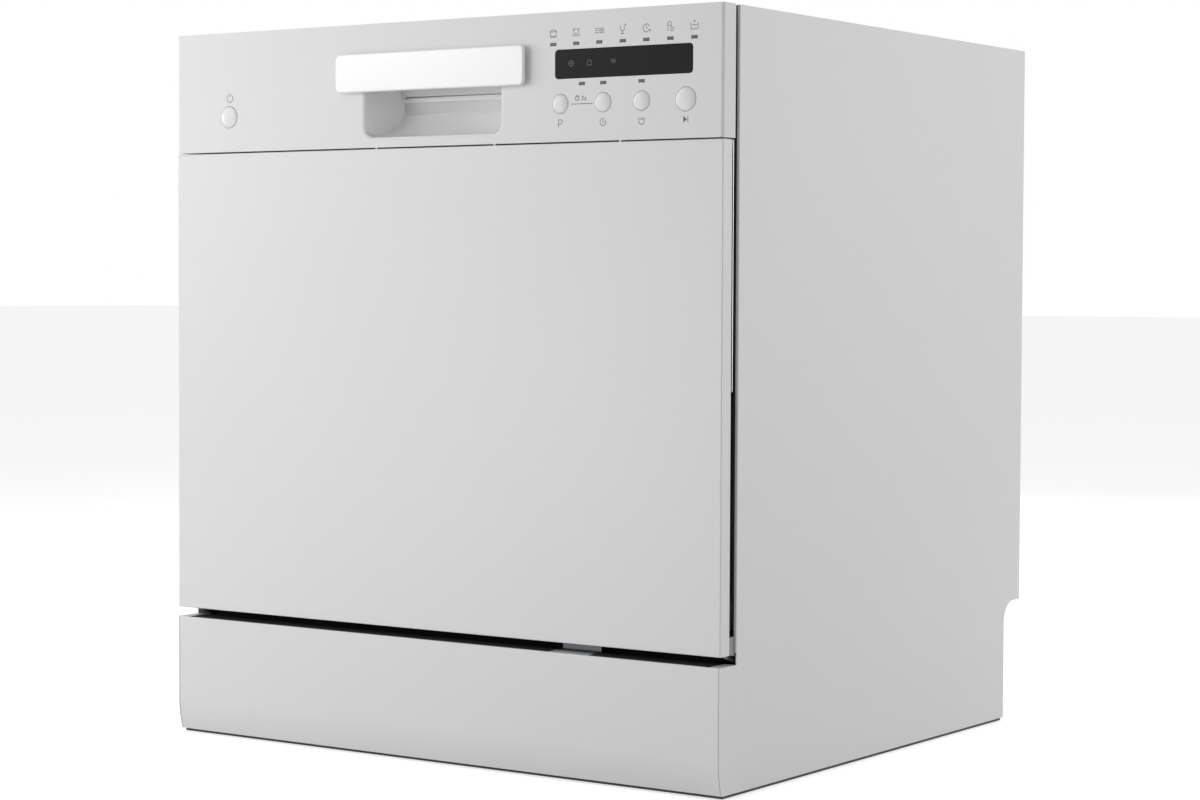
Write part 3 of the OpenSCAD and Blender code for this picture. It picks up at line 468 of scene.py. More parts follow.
HALF_W = 275
TOP_Z = 595
SHEET = 0.8
softened("cabinet_wrap",
         (both_near(x=HALF_W, z=TOP_Z), 2.0, 5),
         (both_near(x=HALF_W - SHEET, z=TOP_Z - SHEET), 1.2, 5))

# The door's side returns are drawn a little shorter than in CAD, as wide as the photo has them.
DOOR_TOP_Z = 494.25
RETURN_D = 15.5
RETURN_TRIM = 2.6
softened("door_outer_panel",
         (both_near(x=HALF_W, d=0), 2.2, 5),
         (both_tests(both_near(d=0, z=DOOR_TOP_Z), along("x")), 0.5, 3),
         (both_tests(both_near(d=0), along("x")), 1.5, 4),
         nudge=lambda x, d, z: (x, d - RETURN_TRIM if abs(d - RETURN_D) < CLOSE else d, z))

# The sheet's front edge is folded back on itself, which shows as a grey line in the door gap.
# Known fault: on the right the two corners run backwards, so that strip is inside out.
HEM_W = 2.4
HEM_GAP = 0.1
HEM_D = (22.7, 23.4)
HEM_Z = (109, TOP_Z - 1.5)
skin = bmesh.new()
for side in (-1, 1):
    box_into(skin, (side * (HALF_W - HEM_GAP), HEM_D[0], HEM_Z[0]),
             (side * (HALF_W - HEM_W), HEM_D[1], HEM_Z[1]))
built("sheet_hems", skin, "cabinet", "white_sheet")

# The plinth is a little narrower than in CAD, so that its corner seam falls where the photo has it.
PLINTH_TOP_Z = 100
PLINTH_END_X = HALF_W - 2.5
PLINTH_TRIM = 0.5
softened("plinth_panel", (both_near(z=PLINTH_TOP_Z, d=0), 0.7, 4), rest=0.3,
         nudge=lambda x, d, z: (x - math.copysign(PLINTH_TRIM, x) if abs(x) > PLINTH_END_X else x, d, z))

# A thin black strip lies on the sill behind the plinth's top edge, painted shade that keeps the gap above the
# plinth dark, with a break at the small bracket there.
SHADE_STRIP_RUNS = ((-261, 115), (154, 261))
SHADE_STRIP_D = (1.4, 20)
SHADE_STRIP_Z = (100.02, 100.3)
skin = bmesh.new()
for left, right in SHADE_STRIP_RUNS:
    box_into(skin, (left, SHADE_STRIP_D[0], SHADE_STRIP_Z[0]), (right, SHADE_STRIP_D[1], SHADE_STRIP_Z[1]))
built("sill_shade_strip", skin, "cabinet", "rubber", edge=0)

# ---------------- fascia

CAD_SEAM_Z = 495.75
SEAM_Z = 495.3
GRIP_X = 69
GRIP_Z = (503.5, 571)
GRIP_BACK = 38
GRIP_CORNER = 8
GRIP_LOWERED = 3
GRIP_SLACK = 0.2
LEVER_PIN = (35.6, 564)
PIN_HOLE_R = 2.06
PIN_HOLE_SLACK = 0.3
SLIT_Z = (537, 540)


def on_pin_hole(d, z):
    """Whether a point lies on the round hole for the release lever's pin."""
    return abs(math.dist((d, z), LEVER_PIN) - PIN_HOLE_R) < PIN_HOLE_SLACK


def at_grip_mouth(a, b):
    """Edges of the recess where it meets the fascia's front."""
    return all(abs(d) < CLOSE and abs(x) < GRIP_X + GRIP_SLACK
               and GRIP_Z[0] - GRIP_SLACK < z < GRIP_Z[1] + GRIP_SLACK for x, d, z in (a, b))


def trimmed(x, d, z):
    """Closes the seam a little, and keeps the rounded top of the recess behind the handle bar."""
    if abs(z - CAD_SEAM_Z) < CLOSE:
        return x, d, SEAM_Z
    start = GRIP_Z[1] - GRIP_CORNER
    in_recess = abs(x) < GRIP_X + GRIP_SLACK and d < GRIP_BACK + GRIP_SLACK and not on_pin_hole(d, z)
    if in_recess and start < z < GRIP_Z[1] + CLOSE:
        return x, d, z - GRIP_LOWERED * (z - start) / GRIP_CORNER
    return x, d, z


def in_grip(a, b):
    """Edges inside the recess, apart from its mouth, its back rim, and the lever's slit and pin hole."""
    return all(abs(x) < GRIP_X - 0.5 and 2 < d < GRIP_BACK + GRIP_SLACK and z < GRIP_Z[1] - 1
               and not on_pin_hole(d, z) and not SLIT_Z[0] < z < SLIT_Z[1] for x, d, z in (a, b))


fascia = softened("control_fascia",
                  (both_tests(both_near(x=HALF_W, d=0), along("z")), 2.2, 5),
                  (both_tests(both_near(d=0, z=TOP_Z), along("x")), 1.5, 4),
                  (both_tests(both_near(d=0, z=SEAM_Z), along("x")), 0.4, 3),
                  (in_grip, 3.0, 4),
                  (at_grip_mouth, 2.3, 5, False),
                  rest=0, nudge=trimmed)

# The recess is lined with the handle's brighter plastic, painted light that lifts the shaded recess, and its
# rim catches the light.
CUP_WALL = 0.3
CUP_OFFSET = 0.33
CUP_RIM_D = 0.4
CUP_MOUTH = 2.5
PIN_CLEAR = 0.3


def brightened_grip_lining():
    """A thin lining drawn from the recess faces of the fascia, in brighter plastic as painted light on the
    shaded recess.
    """
    skin = bmesh.new()
    skin.from_mesh(fascia.data)
    middle = at(0, GRIP_BACK / 2, sum(GRIP_Z) / 2)
    away = []
    for face in skin.faces:
        spot = face.calc_center_median()
        x, d, z = in_mm(spot)
        inside = (abs(x) < GRIP_X + CUP_MOUTH and GRIP_Z[0] - CUP_MOUTH < z < GRIP_Z[1]
                  and CUP_RIM_D < d < GRIP_BACK + GRIP_SLACK)
        if not inside or on_pin_hole(d, z) or face.normal.dot(middle - spot) <= 0:
            away.append(face)
    bmesh.ops.delete(skin, geom=away, context="FACES")
    for vert in skin.verts:
        _, d, z = in_mm(vert.co)
        if on_pin_hole(d, z):
            clear = PIN_CLEAR * MM / PIN_HOLE_R
            vert.co += Vector((0, (d - LEVER_PIN[0]) * clear, (z - LEVER_PIN[1]) * clear))
    cup = piece("brightened_grip_lining", as_mesh("brightened_grip_lining", skin), "door", "gloss_white")
    wall = cup.modifiers.new("wall", "SOLIDIFY")
    wall.thickness = CUP_WALL * MM
    wall.offset = CUP_OFFSET
    wall.use_even_offset = True
    keep_flats_flat(cup)


brightened_grip_lining()

# Three small ribs under the fascia bear on the door panel and break the seam.
OVERLAP = 0.1
RIB_X = (-56.8, 62.6, 182.1)
RIB_HALF = 0.9
RIB_D = (0.5, 5)
RIB_Z = (494, SEAM_Z + OVERLAP)
skin = bmesh.new()
for x in RIB_X:
    box_into(skin, (x - RIB_HALF, RIB_D[0], RIB_Z[0]), (x + RIB_HALF, RIB_D[1], RIB_Z[1]))
built("seam_ribs", skin, "door", "white_plastic", edge=0)

# The handle is a plate on a smaller foot, which leaves a shadow gap round it.
BAR_X = 95
BAR_Z = (540, 571)
BAR_R = 4.5
BAR_FRONT = -6
SHADOW_GAP = 2.2
FOOT_INSET = 3
skin = bmesh.new()
slab_into(skin, -BAR_X, BAR_X, *BAR_Z, BAR_R, BAR_FRONT, -SHADOW_GAP)
slab_into(skin, FOOT_INSET - BAR_X, BAR_X - FOOT_INSET, BAR_Z[0] + FOOT_INSET, BAR_Z[1] - FOOT_INSET, BAR_R,
          -SHADOW_GAP - OVERLAP, 0)
built("handle_plate", skin, "door", "gloss_white", edge=1.1, node="handle_bar")
softened("display_window", (both_near(d=0.1), 0.3, 3), rest=0)
LEVER_EDGE_Z = 540
LEVER_DROP = 0.6
softened("release_lever", nudge=lambda x, d, z: (x, d, z - LEVER_DROP if z < LEVER_EDGE_Z else z))

LENS_X = 184.4
LENS_PITCH = 21.6
LENS_SIZE = (5.1, 2.3)
LENS_R = 1.1
LENS_D = (-0.05, 2.5)
LENS_ROW_Z = 570.3
LOW_LENS_X = (146.7, 166.6, 201.9)
LOW_LENS_Z = 539.4
LENSES = [(LENS_X + LENS_PITCH * i, LENS_ROW_Z) for i in range(-3, 4)]
LENSES += [(x, LOW_LENS_Z) for x in LOW_LENS_X]
half_w, half_h = LENS_SIZE[0] / 2, LENS_SIZE[1] / 2
skin = bmesh.new()
for x, z in LENSES:
    slab_into(skin, x - half_w, x + half_w, z - half_h, z + half_h, LENS_R, *LENS_D)
built("lens_windows", skin, "door", "lens_plastic", edge=0.15, node="indicator_lenses")


def turned(name, profile, centre, body, slot, steps=48, node=None):
    """A piece turned about a line that runs back, from (depth, radius) pairs that start and end on it."""
    skin = bmesh.new()
    rings = []
    for depth, radius in profile:
        ring = []
        for i in range(steps if radius > 0 else 1):
            a = 2 * math.pi * i / steps
            spot = Vector((radius * math.cos(a), depth, radius * math.sin(a)))
            ring.append(skin.verts.new(spot * MM + centre))
        rings.append(ring)
    for low, high in zip(rings, rings[1:]):
        for i in range(steps):
            j = (i + 1) % steps
            corners = [low[i % len(low)], low[j % len(low)], high[j % len(high)], high[i % len(high)]]
            corners = [c for k, c in enumerate(corners) if c not in corners[:k]]
            if len(corners) > 2:
                skin.faces.new(corners)
    bmesh.ops.recalc_face_normals(skin, faces=skin.faces)
    return piece(name, as_mesh(name, skin), body, slot, node=node)


BUTTON_Z = 524.5
BUTTON_DOME = 1.3
STEM_D = 7.2
STEM_R = 2
FLANGE_D = (2.8, 4)
FLANGE_W = 1.2
BUTTONS = {"power_button": (-216, 9), "program_button": (126.5, 7.4), "delay_button": (166.6, 7.4),
           "option_button": (201.9, 7.4), "start_button": (241.8, 9)}
for node, (across, radius) in BUTTONS.items():
    stem = [(STEM_D, 0), (STEM_D, STEM_R), (FLANGE_D[1], STEM_R)]
    flange = [(FLANGE_D[1], radius + FLANGE_W), (FLANGE_D[0], radius + FLANGE_W), (FLANGE_D[0], radius)]
    dome = [(-BUTTON_DOME * math.sin(math.radians(a)), radius * math.cos(math.radians(a)))
            for a in range(0, 90, 9)]
    turned(node + "_cap", stem + flange + dome + [(-BUTTON_DOME, 0)], at(across, 0, BUTTON_Z), node,
           "button_plastic", node=node)

# ---------------- printed marks

INK_PROUD = 0.03
INK_SUNK = 0.02


def ring_points(x, z, r, a0, a1, count):
    """Points of an arc between two angles in degrees, both ends included."""
    angles = [math.radians(a0 + (a1 - a0) * i / count) for i in range(count + 1)]
    return [(x + r * math.cos(a), z + r * math.sin(a)) for a in angles]


def draw_stroke(skin, points, width, depth):
    """One printed line of even width through (across, up) points, with mitred turns."""
    closed = math.dist(points[0], points[-1]) < 0.001
    path = [Vector(p) for p in (points[:-1] if closed else points)]
    count = len(path)
    pairs = []
    for i, here in enumerate(path):
        before = path[i - 1] if closed or i else None
        after = path[(i + 1) % count] if closed or i < count - 1 else None
        into = (here - before).normalized() if before else (after - here).normalized()
        out = (after - here).normalized() if after else into
        side = Vector((-(into + out).y, (into + out).x)).normalized()
        reach = width / 2 / max(0.5, side.dot(Vector((-into.y, into.x))))
        pairs.append([skin.verts.new(at(here.x + s * reach * side.x, depth, here.y + s * reach * side.y))
                      for s in (1, -1)])
    for i in range(count if closed else count - 1):
        a, b = pairs[i], pairs[(i + 1) % count]
        skin.faces.new((a[0], b[0], b[1], a[1]))


def print_marks(name, strokes, width, depth=0.0, ink=INK, slot="lens_plastic", filled=()):
    """Thin raised ink on a plane at a depth: strokes, and filled outlines."""
    skin = bmesh.new()
    for points in strokes:
        draw_stroke(skin, points, width, depth - INK_PROUD)
    for points in filled:
        skin.faces.new([skin.verts.new(at(x, depth - INK_PROUD, z)) for x, z in points])
    for face in skin.faces:
        face.normal_update()
        if face.normal.y > 0:
            face.normal_flip()
    walls = bmesh.ops.extrude_face_region(skin, geom=skin.faces[:], use_keep_orig=True)
    sunk = [v for v in walls["geom"] if isinstance(v, bmesh.types.BMVert)]
    bmesh.ops.translate(skin, verts=sunk, vec=(0, (INK_PROUD + INK_SUNK) * MM, 0))
    bmesh.ops.recalc_face_normals(skin, faces=skin.faces)
    return piece(name, as_mesh(name, skin), "door", slot, material=ink)


def moved(strokes, x, z):
    """Strokes drawn about their own centre, put at a place across and up."""
    return [[(x + px, z + pz) for px, pz in points] for points in strokes]


# Generic wash symbols, each drawn about its own centre in a square of about eight millimetres.
SYMBOLS = [
    # covered pot on a base line
    [[(-2.9, 1.0), (-2.5, -2.2), (2.5, -2.2), (2.9, 1.0)], [(-3.7, 1.1), (3.7, 1.1)],
     [(-2.3, 1.4), (-1.4, 2.6), (1.4, 2.6), (2.3, 1.4)], [(-3.1, -3.0), (3.5, -3.0)]],
    # cup over a saucer
    [[(-3.2, 2.2), (3.2, 2.2)],
     [(-2.3, 2.0), (-2.2, -0.5), (-1.4, -1.3), (1.4, -1.3), (2.2, -0.5), (2.3, 2.0)],
     [(-3.6, -1.7), (-2.6, -2.7), (2.6, -2.7), (3.6, -1.7)]],
    # cutlery beside a dish
    [[(-4.0, 1.8), (-0.7, 1.8)], [(-4.0, 0.2), (-0.7, 0.2)], [(-4.0, -1.4), (-0.7, -1.4)],
     [(0.5, 1.8), (3.7, 1.8), (3.7, -1.6), (0.5, -1.6), (0.5, 1.8)], ring_points(2.1, 0.1, 0.6, 0, 360, 10)],
    # stemmed glass with a sparkle
    [ring_points(-0.3, 0.9, 2.0, 130, 410, 16), [(-0.3, -1.2), (-0.3, -3.0)], [(-1.9, -3.2), (1.3, -3.2)],
     [(1.6, 3.4), (3.2, 3.4)], [(2.4, 4.2), (2.4, 2.6)]],
    # quick clock
    [ring_points(0, 0, 3.0, 20, 340, 18), [(0, 1.6), (0, 0), (1.3, -0.8)],
     [(1.9, -2.2), (3.4, -1.0), (3.8, -2.9)]],
    # plate over a figure and a half disc, half load
    [ring_points(-0.8, 2.0, 1.7, -30, 210, 12), [(-2.8, 0.6), (1.2, 0.6)], [(-2.0, -0.4), (-2.0, -3.2)],
     [(0.6, -0.4), (0.6, -3.2), (2.0, -3.2), (2.9, -1.8), (2.0, -0.4), (0.6, -0.4)]],
    # soaking basin with a drop
    [[(-3.4, 2.0), (-3.0, -2.8), (3.0, -2.8), (3.4, 2.0)], [(-2.0, 0.2), (-0.8, 0.8), (0.6, 0.0), (2.0, 0.6)],
     [(0, 3.8), (-0.6, 2.8), (0.6, 2.8), (0, 3.8)]],
]
SYMBOL_Z = 578.9
marks = [stroke for i, symbol in enumerate(SYMBOLS)
         for stroke in moved(symbol, LENS_X + LENS_PITCH * (i - 3), SYMBOL_Z)]
print_marks("wash_symbols", marks, width=0.5)

# The buttons' labels, each with its place across and up.
LABEL_Z = 509.4
LABELS = [
    # programme letter
    ([[(-1.7, -2.9), (-1.7, 2.9), (0.5, 2.9), (1.7, 2.2), (1.9, 1.2), (1.5, 0.2), (0.4, -0.3), (-1.7, -0.3)]],
     126.6, LABEL_Z),
    # delay clock
    ([ring_points(0, 0, 2.7, 60, 390, 18), [(0, 1.4), (0, 0), (1.3, 0)]], 166.5, LABEL_Z),
    # extra drying
    ([[(-2.2, 2.6), (-2.4, -0.6), (-1.2, -2.6), (1.2, -2.6), (2.4, -0.6), (2.2, 2.6)],
      [(-0.8, 0.6), (-0.1, 1.4), (-0.8, 2.2)], [(0.8, 0.6), (1.4, 1.4), (0.8, 2.2)]], 201.9, LABEL_Z),
    # start bar
    ([[(2.1, -2.5), (2.1, 2.5)]], 241.6, LABEL_Z),
    # power ring and bar
    ([ring_points(0, 0, 3.3, 120, 420, 22), [(0, 0.9), (0, 4.2)]], -215.3, 540.2),
    # key lock line and padlock
    ([[(136.3, 524), (156.9, 524)]], 0, 0),
    ([[(-1.6, -1.6), (-1.6, 1), (1.6, 1), (1.6, -1.6), (-1.6, -1.6)], ring_points(0, 1, 1.05, 0, 180, 8)],
     142.4, 528.4),
    # three seconds
    ([[(-2.2, 1.4), (-0.7, 1.4), (-1.4, 0.3), (-0.7, -0.5), (-1.2, -1.4), (-2.2, -1.3)],
      [(2.0, 0.4), (1.0, 0.5), (0.7, 0), (1.9, -0.7), (1.6, -1.4), (0.6, -1.2)]], 148.8, 528.2),
]
marks = [stroke for label in LABELS for stroke in moved(*label)]
START_MARK = [(239.6, LABEL_Z + 2.5), (239.6, LABEL_Z - 2.5), (242.9, LABEL_Z)]
print_marks("button_symbols", marks, width=0.55, filled=[START_MARK])

# Unlit figures that show faintly through the display, each with its place across and up.
FIGURES = [
    ([ring_points(0, 0, 2.2, 0, 360, 14), [(-3.2, 0), (3.2, 0)], [(0, -2.6), (0, 2.6)]], 136.4, 555.2),
    ([[(-1.8, -2), (1.8, -2), (1.8, 1), (0, 2.2), (-1.8, 1), (-1.8, -2)]], 153.4, 555.2),
    ([[(-2.6, 0.2), (2.6, 0.2)], [(-1.6, 2), (1.8, -1.8)], [(1.6, 2.2), (-1.2, -2)]], 175.8, 555.4),
]
marks = [stroke for figure in FIGURES for stroke in moved(*figure)]
print_marks("display_figures", marks, depth=0.1, width=0.5, ink=DIM_INK, slot="display_acrylic")

# ---------------- wires, coils, studs: Geometry Nodes


def new_tree(name, sizes):
    """A Geometry Nodes tree that takes a mesh, named sizes and a material."""
    tree = bpy.data.node_groups.new(name, "GeometryNodeTree")
    inputs = [("Geometry", "NodeSocketGeometry"), *((size, "NodeSocketFloat") for size in sizes),
              ("Finish", "NodeSocketMaterial")]
    for label, kind in inputs:
        tree.interface.new_socket(label, in_out="INPUT", socket_type=kind)
    tree.interface.new_socket("Geometry", in_out="OUTPUT", socket_type="NodeSocketGeometry")
    return tree, add(tree, "NodeGroupInput").outputs


def close_tree(tree, shape, finish):
    """Ends a tree in Realize Instances and Set Material."""
    real = add(tree, "GeometryNodeRealizeInstances", {"Geometry": shape})
    done = add(tree, "GeometryNodeSetMaterial", {"Geometry": real.outputs[0], "Material": finish})
    add(tree, "NodeGroupOutput", {0: done.outputs[0]})
    return tree


def wire_tree():
    """Bent round wires along the edges of a mesh."""
    tree, given = new_tree("bent_wires", ("Wire radius", "Bend radius"))
    paths = add(tree, "GeometryNodeMeshToCurve", {0: given["Geometry"]})
    bends = add(tree, "GeometryNodeFilletCurve",
                {"Curve": paths.outputs[0], "Radius": given["Bend radius"], "Limit Radius": True, "Count": 4},
                mode="POLY")
    section = add(tree, "GeometryNodeCurvePrimitiveCircle",
                  {"Resolution": 8, "Radius": given["Wire radius"]})
    tubes = add(tree, "GeometryNodeCurveToMesh",
                {"Curve": bends.outputs[0], "Profile Curve": section.outputs[0], "Fill Caps": True})
    return close_tree(tree, tubes.outputs[0], given["Finish"])


def stud_tree(name, turn):
    """A low round stud on each point, turned by an angle about X, with its rim away from its foot."""
    tree, given = new_tree(name, ("Stud radius", "Rim radius", "Stud height"))
    stud = add(tree, "GeometryNodeMeshCone",
               {"Vertices": 20, "Radius Top": given["Rim radius"], "Radius Bottom": given["Stud radius"],
                "Depth": given["Stud height"]})
    copies = add(tree, "GeometryNodeInstanceOnPoints",
                 {"Points": given["Geometry"], "Instance": stud.outputs["Mesh"], "Rotation": (turn, 0, 0)})
    return close_tree(tree, copies.outputs[0], given["Finish"])


def bar_tree():
    """A bar on each point, for cross slots and slats."""
    tree, given = new_tree("bars_on_points", ("Bar width", "Bar depth", "Bar height"))
    size = add(tree, "ShaderNodeCombineXYZ",
               {"X": given["Bar width"], "Y": given["Bar depth"], "Z": given["Bar height"]})
    one = add(tree, "GeometryNodeMeshCube", {"Size": size.outputs[0]})
    copies = add(tree, "GeometryNodeInstanceOnPoints",
                 {"Points": given["Geometry"], "Instance": one.outputs["Mesh"]})
    return close_tree(tree, copies.outputs[0], given["Finish"])


WIRES = wire_tree()
STUDS = stud_tree("studs_facing_front", math.pi / 2)
UPRIGHT_STUDS = stud_tree("studs_upright", 0.0)
BARS = bar_tree()


def run_tree(name, tree, points, edges, sizes, body, slot, node=None):
    """Runs a tree on points and edges in millimetres with depth, and keeps the result as a plain piece."""
    seed = bpy.data.meshes.new(name + "_seed")
    seed.from_pydata([at(*p) for p in points], edges, [])
    carrier = bpy.data.objects.new(name + "_seed", seed)
    bpy.context.scene.collection.objects.link(carrier)
    nodes = carrier.modifiers.new("nodes", "NODES")
    nodes.node_group = tree
    sockets = {s.name: s.identifier for s in tree.interface.items_tree if s.in_out == "INPUT"}
    for size, value in sizes.items():
        nodes[sockets[size]] = value * MM
    nodes[sockets["Finish"]] = MATERIALS[slot]
    graph = bpy.context.evaluated_depsgraph_get()
    mesh = bpy.data.meshes.new_from_object(carrier.evaluated_get(graph))
    mesh.name = name
    bpy.data.objects.remove(carrier)
    return piece(name, mesh, body, slot, node=node)


def paths_to_edges(paths):
    """Separate point lists as one point list and its edges. A path whose ends meet is closed."""
    points, edges = [], []
    for path in paths:
        first = len(points)
        closed = math.dist(path[0], path[-1]) < 0.001
        run = path[:-1] if closed else path
        points += run
        edges += [(first + i, first + i + 1) for i in range(len(run) - 1)]
        if closed:
            edges.append((len(points) - 1, first))
    return points, edges


def wires(name, paths, radius, bend, body, slot, node=None):
    """Round wires along paths, with their turns bent to a radius, all in millimetres with depth."""
    points, edges = paths_to_edges(paths)
    return run_tree(name, WIRES, points, edges, {"Wire radius": radius, "Bend radius": bend}, body, slot,
                    node=node)


# ---------------- baskets

WIRE_R = 1.75
WIRE_BEND = 6
WIRE_INSET = 0.6
CROSSING = 0.5
RACK_X = 228
RACK_FRONT = 64
RACK_BACK = 444
RACK_COLUMNS = 8
RACK_ROWS = 6
HOOPS = 3


def basket_paths(z0, z1):
    """U-shaped wires both ways, laid over each other, and closed hoops round the walls."""
    low = z0 + WIRE_R
    high = z1 - WIRE_R
    across_low = low + CROSSING
    front, back, side = RACK_FRONT + WIRE_INSET, RACK_BACK - WIRE_INSET, RACK_X - WIRE_INSET
    paths = []
    for i in range(RACK_COLUMNS + 1):
        x = -RACK_X + 2 * RACK_X * i / RACK_COLUMNS
        paths.append([(x, front, high), (x, front, low), (x, back, low), (x, back, high)])
    for j in range(RACK_ROWS + 1):
        d = RACK_FRONT + (RACK_BACK - RACK_FRONT) * j / RACK_ROWS
        paths.append([(-side, d, high), (-side, d, across_low), (side, d, across_low), (side, d, high)])
    for k in range(1, HOOPS + 1):
        z = z0 + (z1 - z0 - 2 * WIRE_R) * k / HOOPS + WIRE_R
        middle = (0, RACK_FRONT, z)
        paths.append([middle, (RACK_X, RACK_FRONT, z), (RACK_X, RACK_BACK, z), (-RACK_X, RACK_BACK, z),
                      (-RACK_X, RACK_FRONT, z), middle])
    return paths


def axle_mounts_into(skin, depths, axle_z, block_z, tip_x, radius):
    """Adds a block and an axle pin at each depth, on both sides of a basket."""
    for d in depths:
        for side in (-1, 1):
            box_into(skin, (side * RACK_X - 2, d - 5, block_z[0]), (side * RACK_X + 2, d + 5, block_z[1]))
            rod_into(skin, (side * (RACK_X + 1), d, axle_z), (side * tip_x, d, axle_z), radius)


LOWER_Z = (184, 300)
UPPER_Z = (362, 470)
TINE_ROWS = (-163, -108, -53, 2, 57)
TINE_DEPTHS = range(104, 424, 40)
TINE_H = (1, 40, 45)
TINE_LEAN = 1.5
lower = basket_paths(*LOWER_Z)
for x in TINE_ROWS:
    lower.append([(x, d, LOWER_Z[0] + WIRE_R) for d in (RACK_FRONT, RACK_BACK)])
    for d in TINE_DEPTHS:
        foot, bend, tip = (LOWER_Z[0] + h for h in TINE_H)
        lower.append([(x, d, foot), (x, d, bend), (x + TINE_LEAN, d, tip)])
wires("lower_basket_wires", lower, WIRE_R, WIRE_BEND, "lower_basket", "coated_wire", node="lower_basket")

WHEEL_Z = 161.3
LOWER_WHEELS = (120, 404)
skin = bmesh.new()
axle_mounts_into(skin, LOWER_WHEELS, WHEEL_Z, (WHEEL_Z - 5, LOWER_Z[0] + 10), 245, 3)
built("lower_axle_mounts", skin, "lower_basket", "coated_wire", edge=0.5)

upper = basket_paths(*UPPER_Z)
wires("upper_basket_wires", upper, WIRE_R, WIRE_BEND, "upper_basket", "coated_wire", node="upper_basket")

# The upper basket also carries the hub of its spray arm: a plate, a stem and a collar.
RAIL_Z = 401.3
UPPER_ROLLERS = (240, 434)
ARM_DEPTH = 250
PLATE_HALF = 14
STEM_Z = 340
HUB_STEM_R = 6
COLLAR_Z = (337, 340.05)
COLLAR_R = 11
skin = bmesh.new()
axle_mounts_into(skin, UPPER_ROLLERS, RAIL_Z, (RAIL_Z - 6, RAIL_Z + 6), 248.8, 2.5)
box_into(skin, (-PLATE_HALF, ARM_DEPTH - PLATE_HALF, UPPER_Z[0]),
         (PLATE_HALF, ARM_DEPTH + PLATE_HALF, UPPER_Z[0] + 4))
rod_into(skin, (0, ARM_DEPTH, STEM_Z), (0, ARM_DEPTH, UPPER_Z[0] + 1), HUB_STEM_R, 32)
rod_into(skin, (0, ARM_DEPTH, COLLAR_Z[0]), (0, ARM_DEPTH, COLLAR_Z[1]), COLLAR_R, 32)
built("upper_basket_mounts", skin, "upper_basket", "coated_wire", edge=0.5)

# ---------------- cutlery basket

CUTLERY = ((148, 90, 188), (220, 330, 292))
WALL = 2
RIM_BANDS = ((0, 12), (48, 53), (96, 104))
SLAT = 1.7
SLAT_START = (0.6, 1)
SLAT_PITCH = (9, 8.5)


def cutlery_basket():
    """Eight slatted cells: a floor and three bands of rims from blocks, and the slats by Geometry Nodes."""
    (x0, d0, z0), (x1, d1, z1) = CUTLERY
    walls_x = [x0 + WALL / 2 + i * (x1 - x0 - WALL) / 2 for i in range(3)]
    walls_d = [d0 + WALL / 2 + j * (d1 - d0 - WALL) / 4 for j in range(5)]
    skin = bmesh.new()
    box_into(skin, (x0, d0, z0), (x1, d1, z0 + WALL))
    for low, high in RIM_BANDS:
        for x in walls_x:
            box_into(skin, (x - WALL / 2, d0, z0 + low), (x + WALL / 2, d1, z0 + high))
        for d in walls_d:
            box_into(skin, (x0, d - WALL / 2, z0 + low), (x1, d + WALL / 2, z0 + high))
    built("cutlery_rims", skin, "lower_basket", "grey_plastic", edge=0.4, node="cutlery_basket")
    middle = (z0 + z1) / 2
    points = [(x, d0 + SLAT_PITCH[1] * k + SLAT_START[1], middle) for x in walls_x for k in range(29)]
    points += [(x0 + SLAT_PITCH[0] * k + SLAT_START[0], d, middle) for d in walls_d for k in range(9)]
    size = {"Bar width": SLAT, "Bar depth": SLAT, "Bar height": z1 - z0 - 1}
    run_tree("cutlery_slats", BARS, points, [], size, "lower_basket", "grey_plastic")


cutlery_basket()

# ---------------- spray arms and filter

ARM_TOPS = {"lower_spray_arm": 168, "upper_spray_arm": 348.3}
JET_REACH = (42, 70, 98, 124, 148, 168)
JET_ASIDE = 4
JET_LIFT = 0.4
JET_SHADE_LIFT = 0.86
for node, top in ARM_TOPS.items():
    softened(node, (both_near(z=top), 1.2, 3), rest=0.3)
    jets = [(sign * reach, ARM_DEPTH + sign * (JET_ASIDE if k % 2 else -JET_ASIDE), top + JET_LIFT)
            for sign in (-1, 1) for k, reach in enumerate(JET_REACH)]
    run_tree(node + "_jets", UPRIGHT_STUDS, jets, [],
             {"Stud radius": 3.4, "Rim radius": 2.2, "Stud height": 1.6}, BODY_OF[node], "grey_plastic")
    # A flat dark disc on each jet's tip is painted shade standing for the nozzle's hole.
    run_tree(node + "_jet_hole_shade", UPRIGHT_STUDS, [(x, d, z + JET_SHADE_LIFT) for x, d, z in jets], [],
             {"Stud radius": 1.1, "Rim radius": 1.1, "Stud height": 0.12}, BODY_OF[node], "dark_plastic")


def perforated(name, base, pitch, hole):
    """A copy of a finish with a grid of round holes painted dark as the shade seen through them, pitch and
    hole radius in millimetres.
    """
    material = base.copy()
    material.name = name
    tree = material.node_tree
    shader = next(n for n in tree.nodes if n.type == "BSDF_PRINCIPLED")
    place = add(tree, "ShaderNodeTexCoord").outputs["Object"]
    flat = add(tree, "ShaderNodeMapping", {"Vector": place, "Scale": (1, 1, 0)})
    cells = add(tree, "ShaderNodeTexVoronoi",
                {"Vector": flat.outputs[0], "Scale": 1 / (pitch * MM), "Randomness": 0.0},
                voronoi_dimensions="2D")
    open_at = add(tree, "ShaderNodeMath", {0: cells.outputs["Distance"], 1: hole / pitch},
                  operation="LESS_THAN")
    bare = shader.inputs["Base Color"].links[0].from_socket
    colour = add(tree, "ShaderNodeMix", {0: open_at.outputs[0], 6: bare, 7: hex_rgba(HOLE_SHADE)},
                 data_type="RGBA")
    tree.links.new(colour.outputs[2], shader.inputs["Base Color"])
    return material


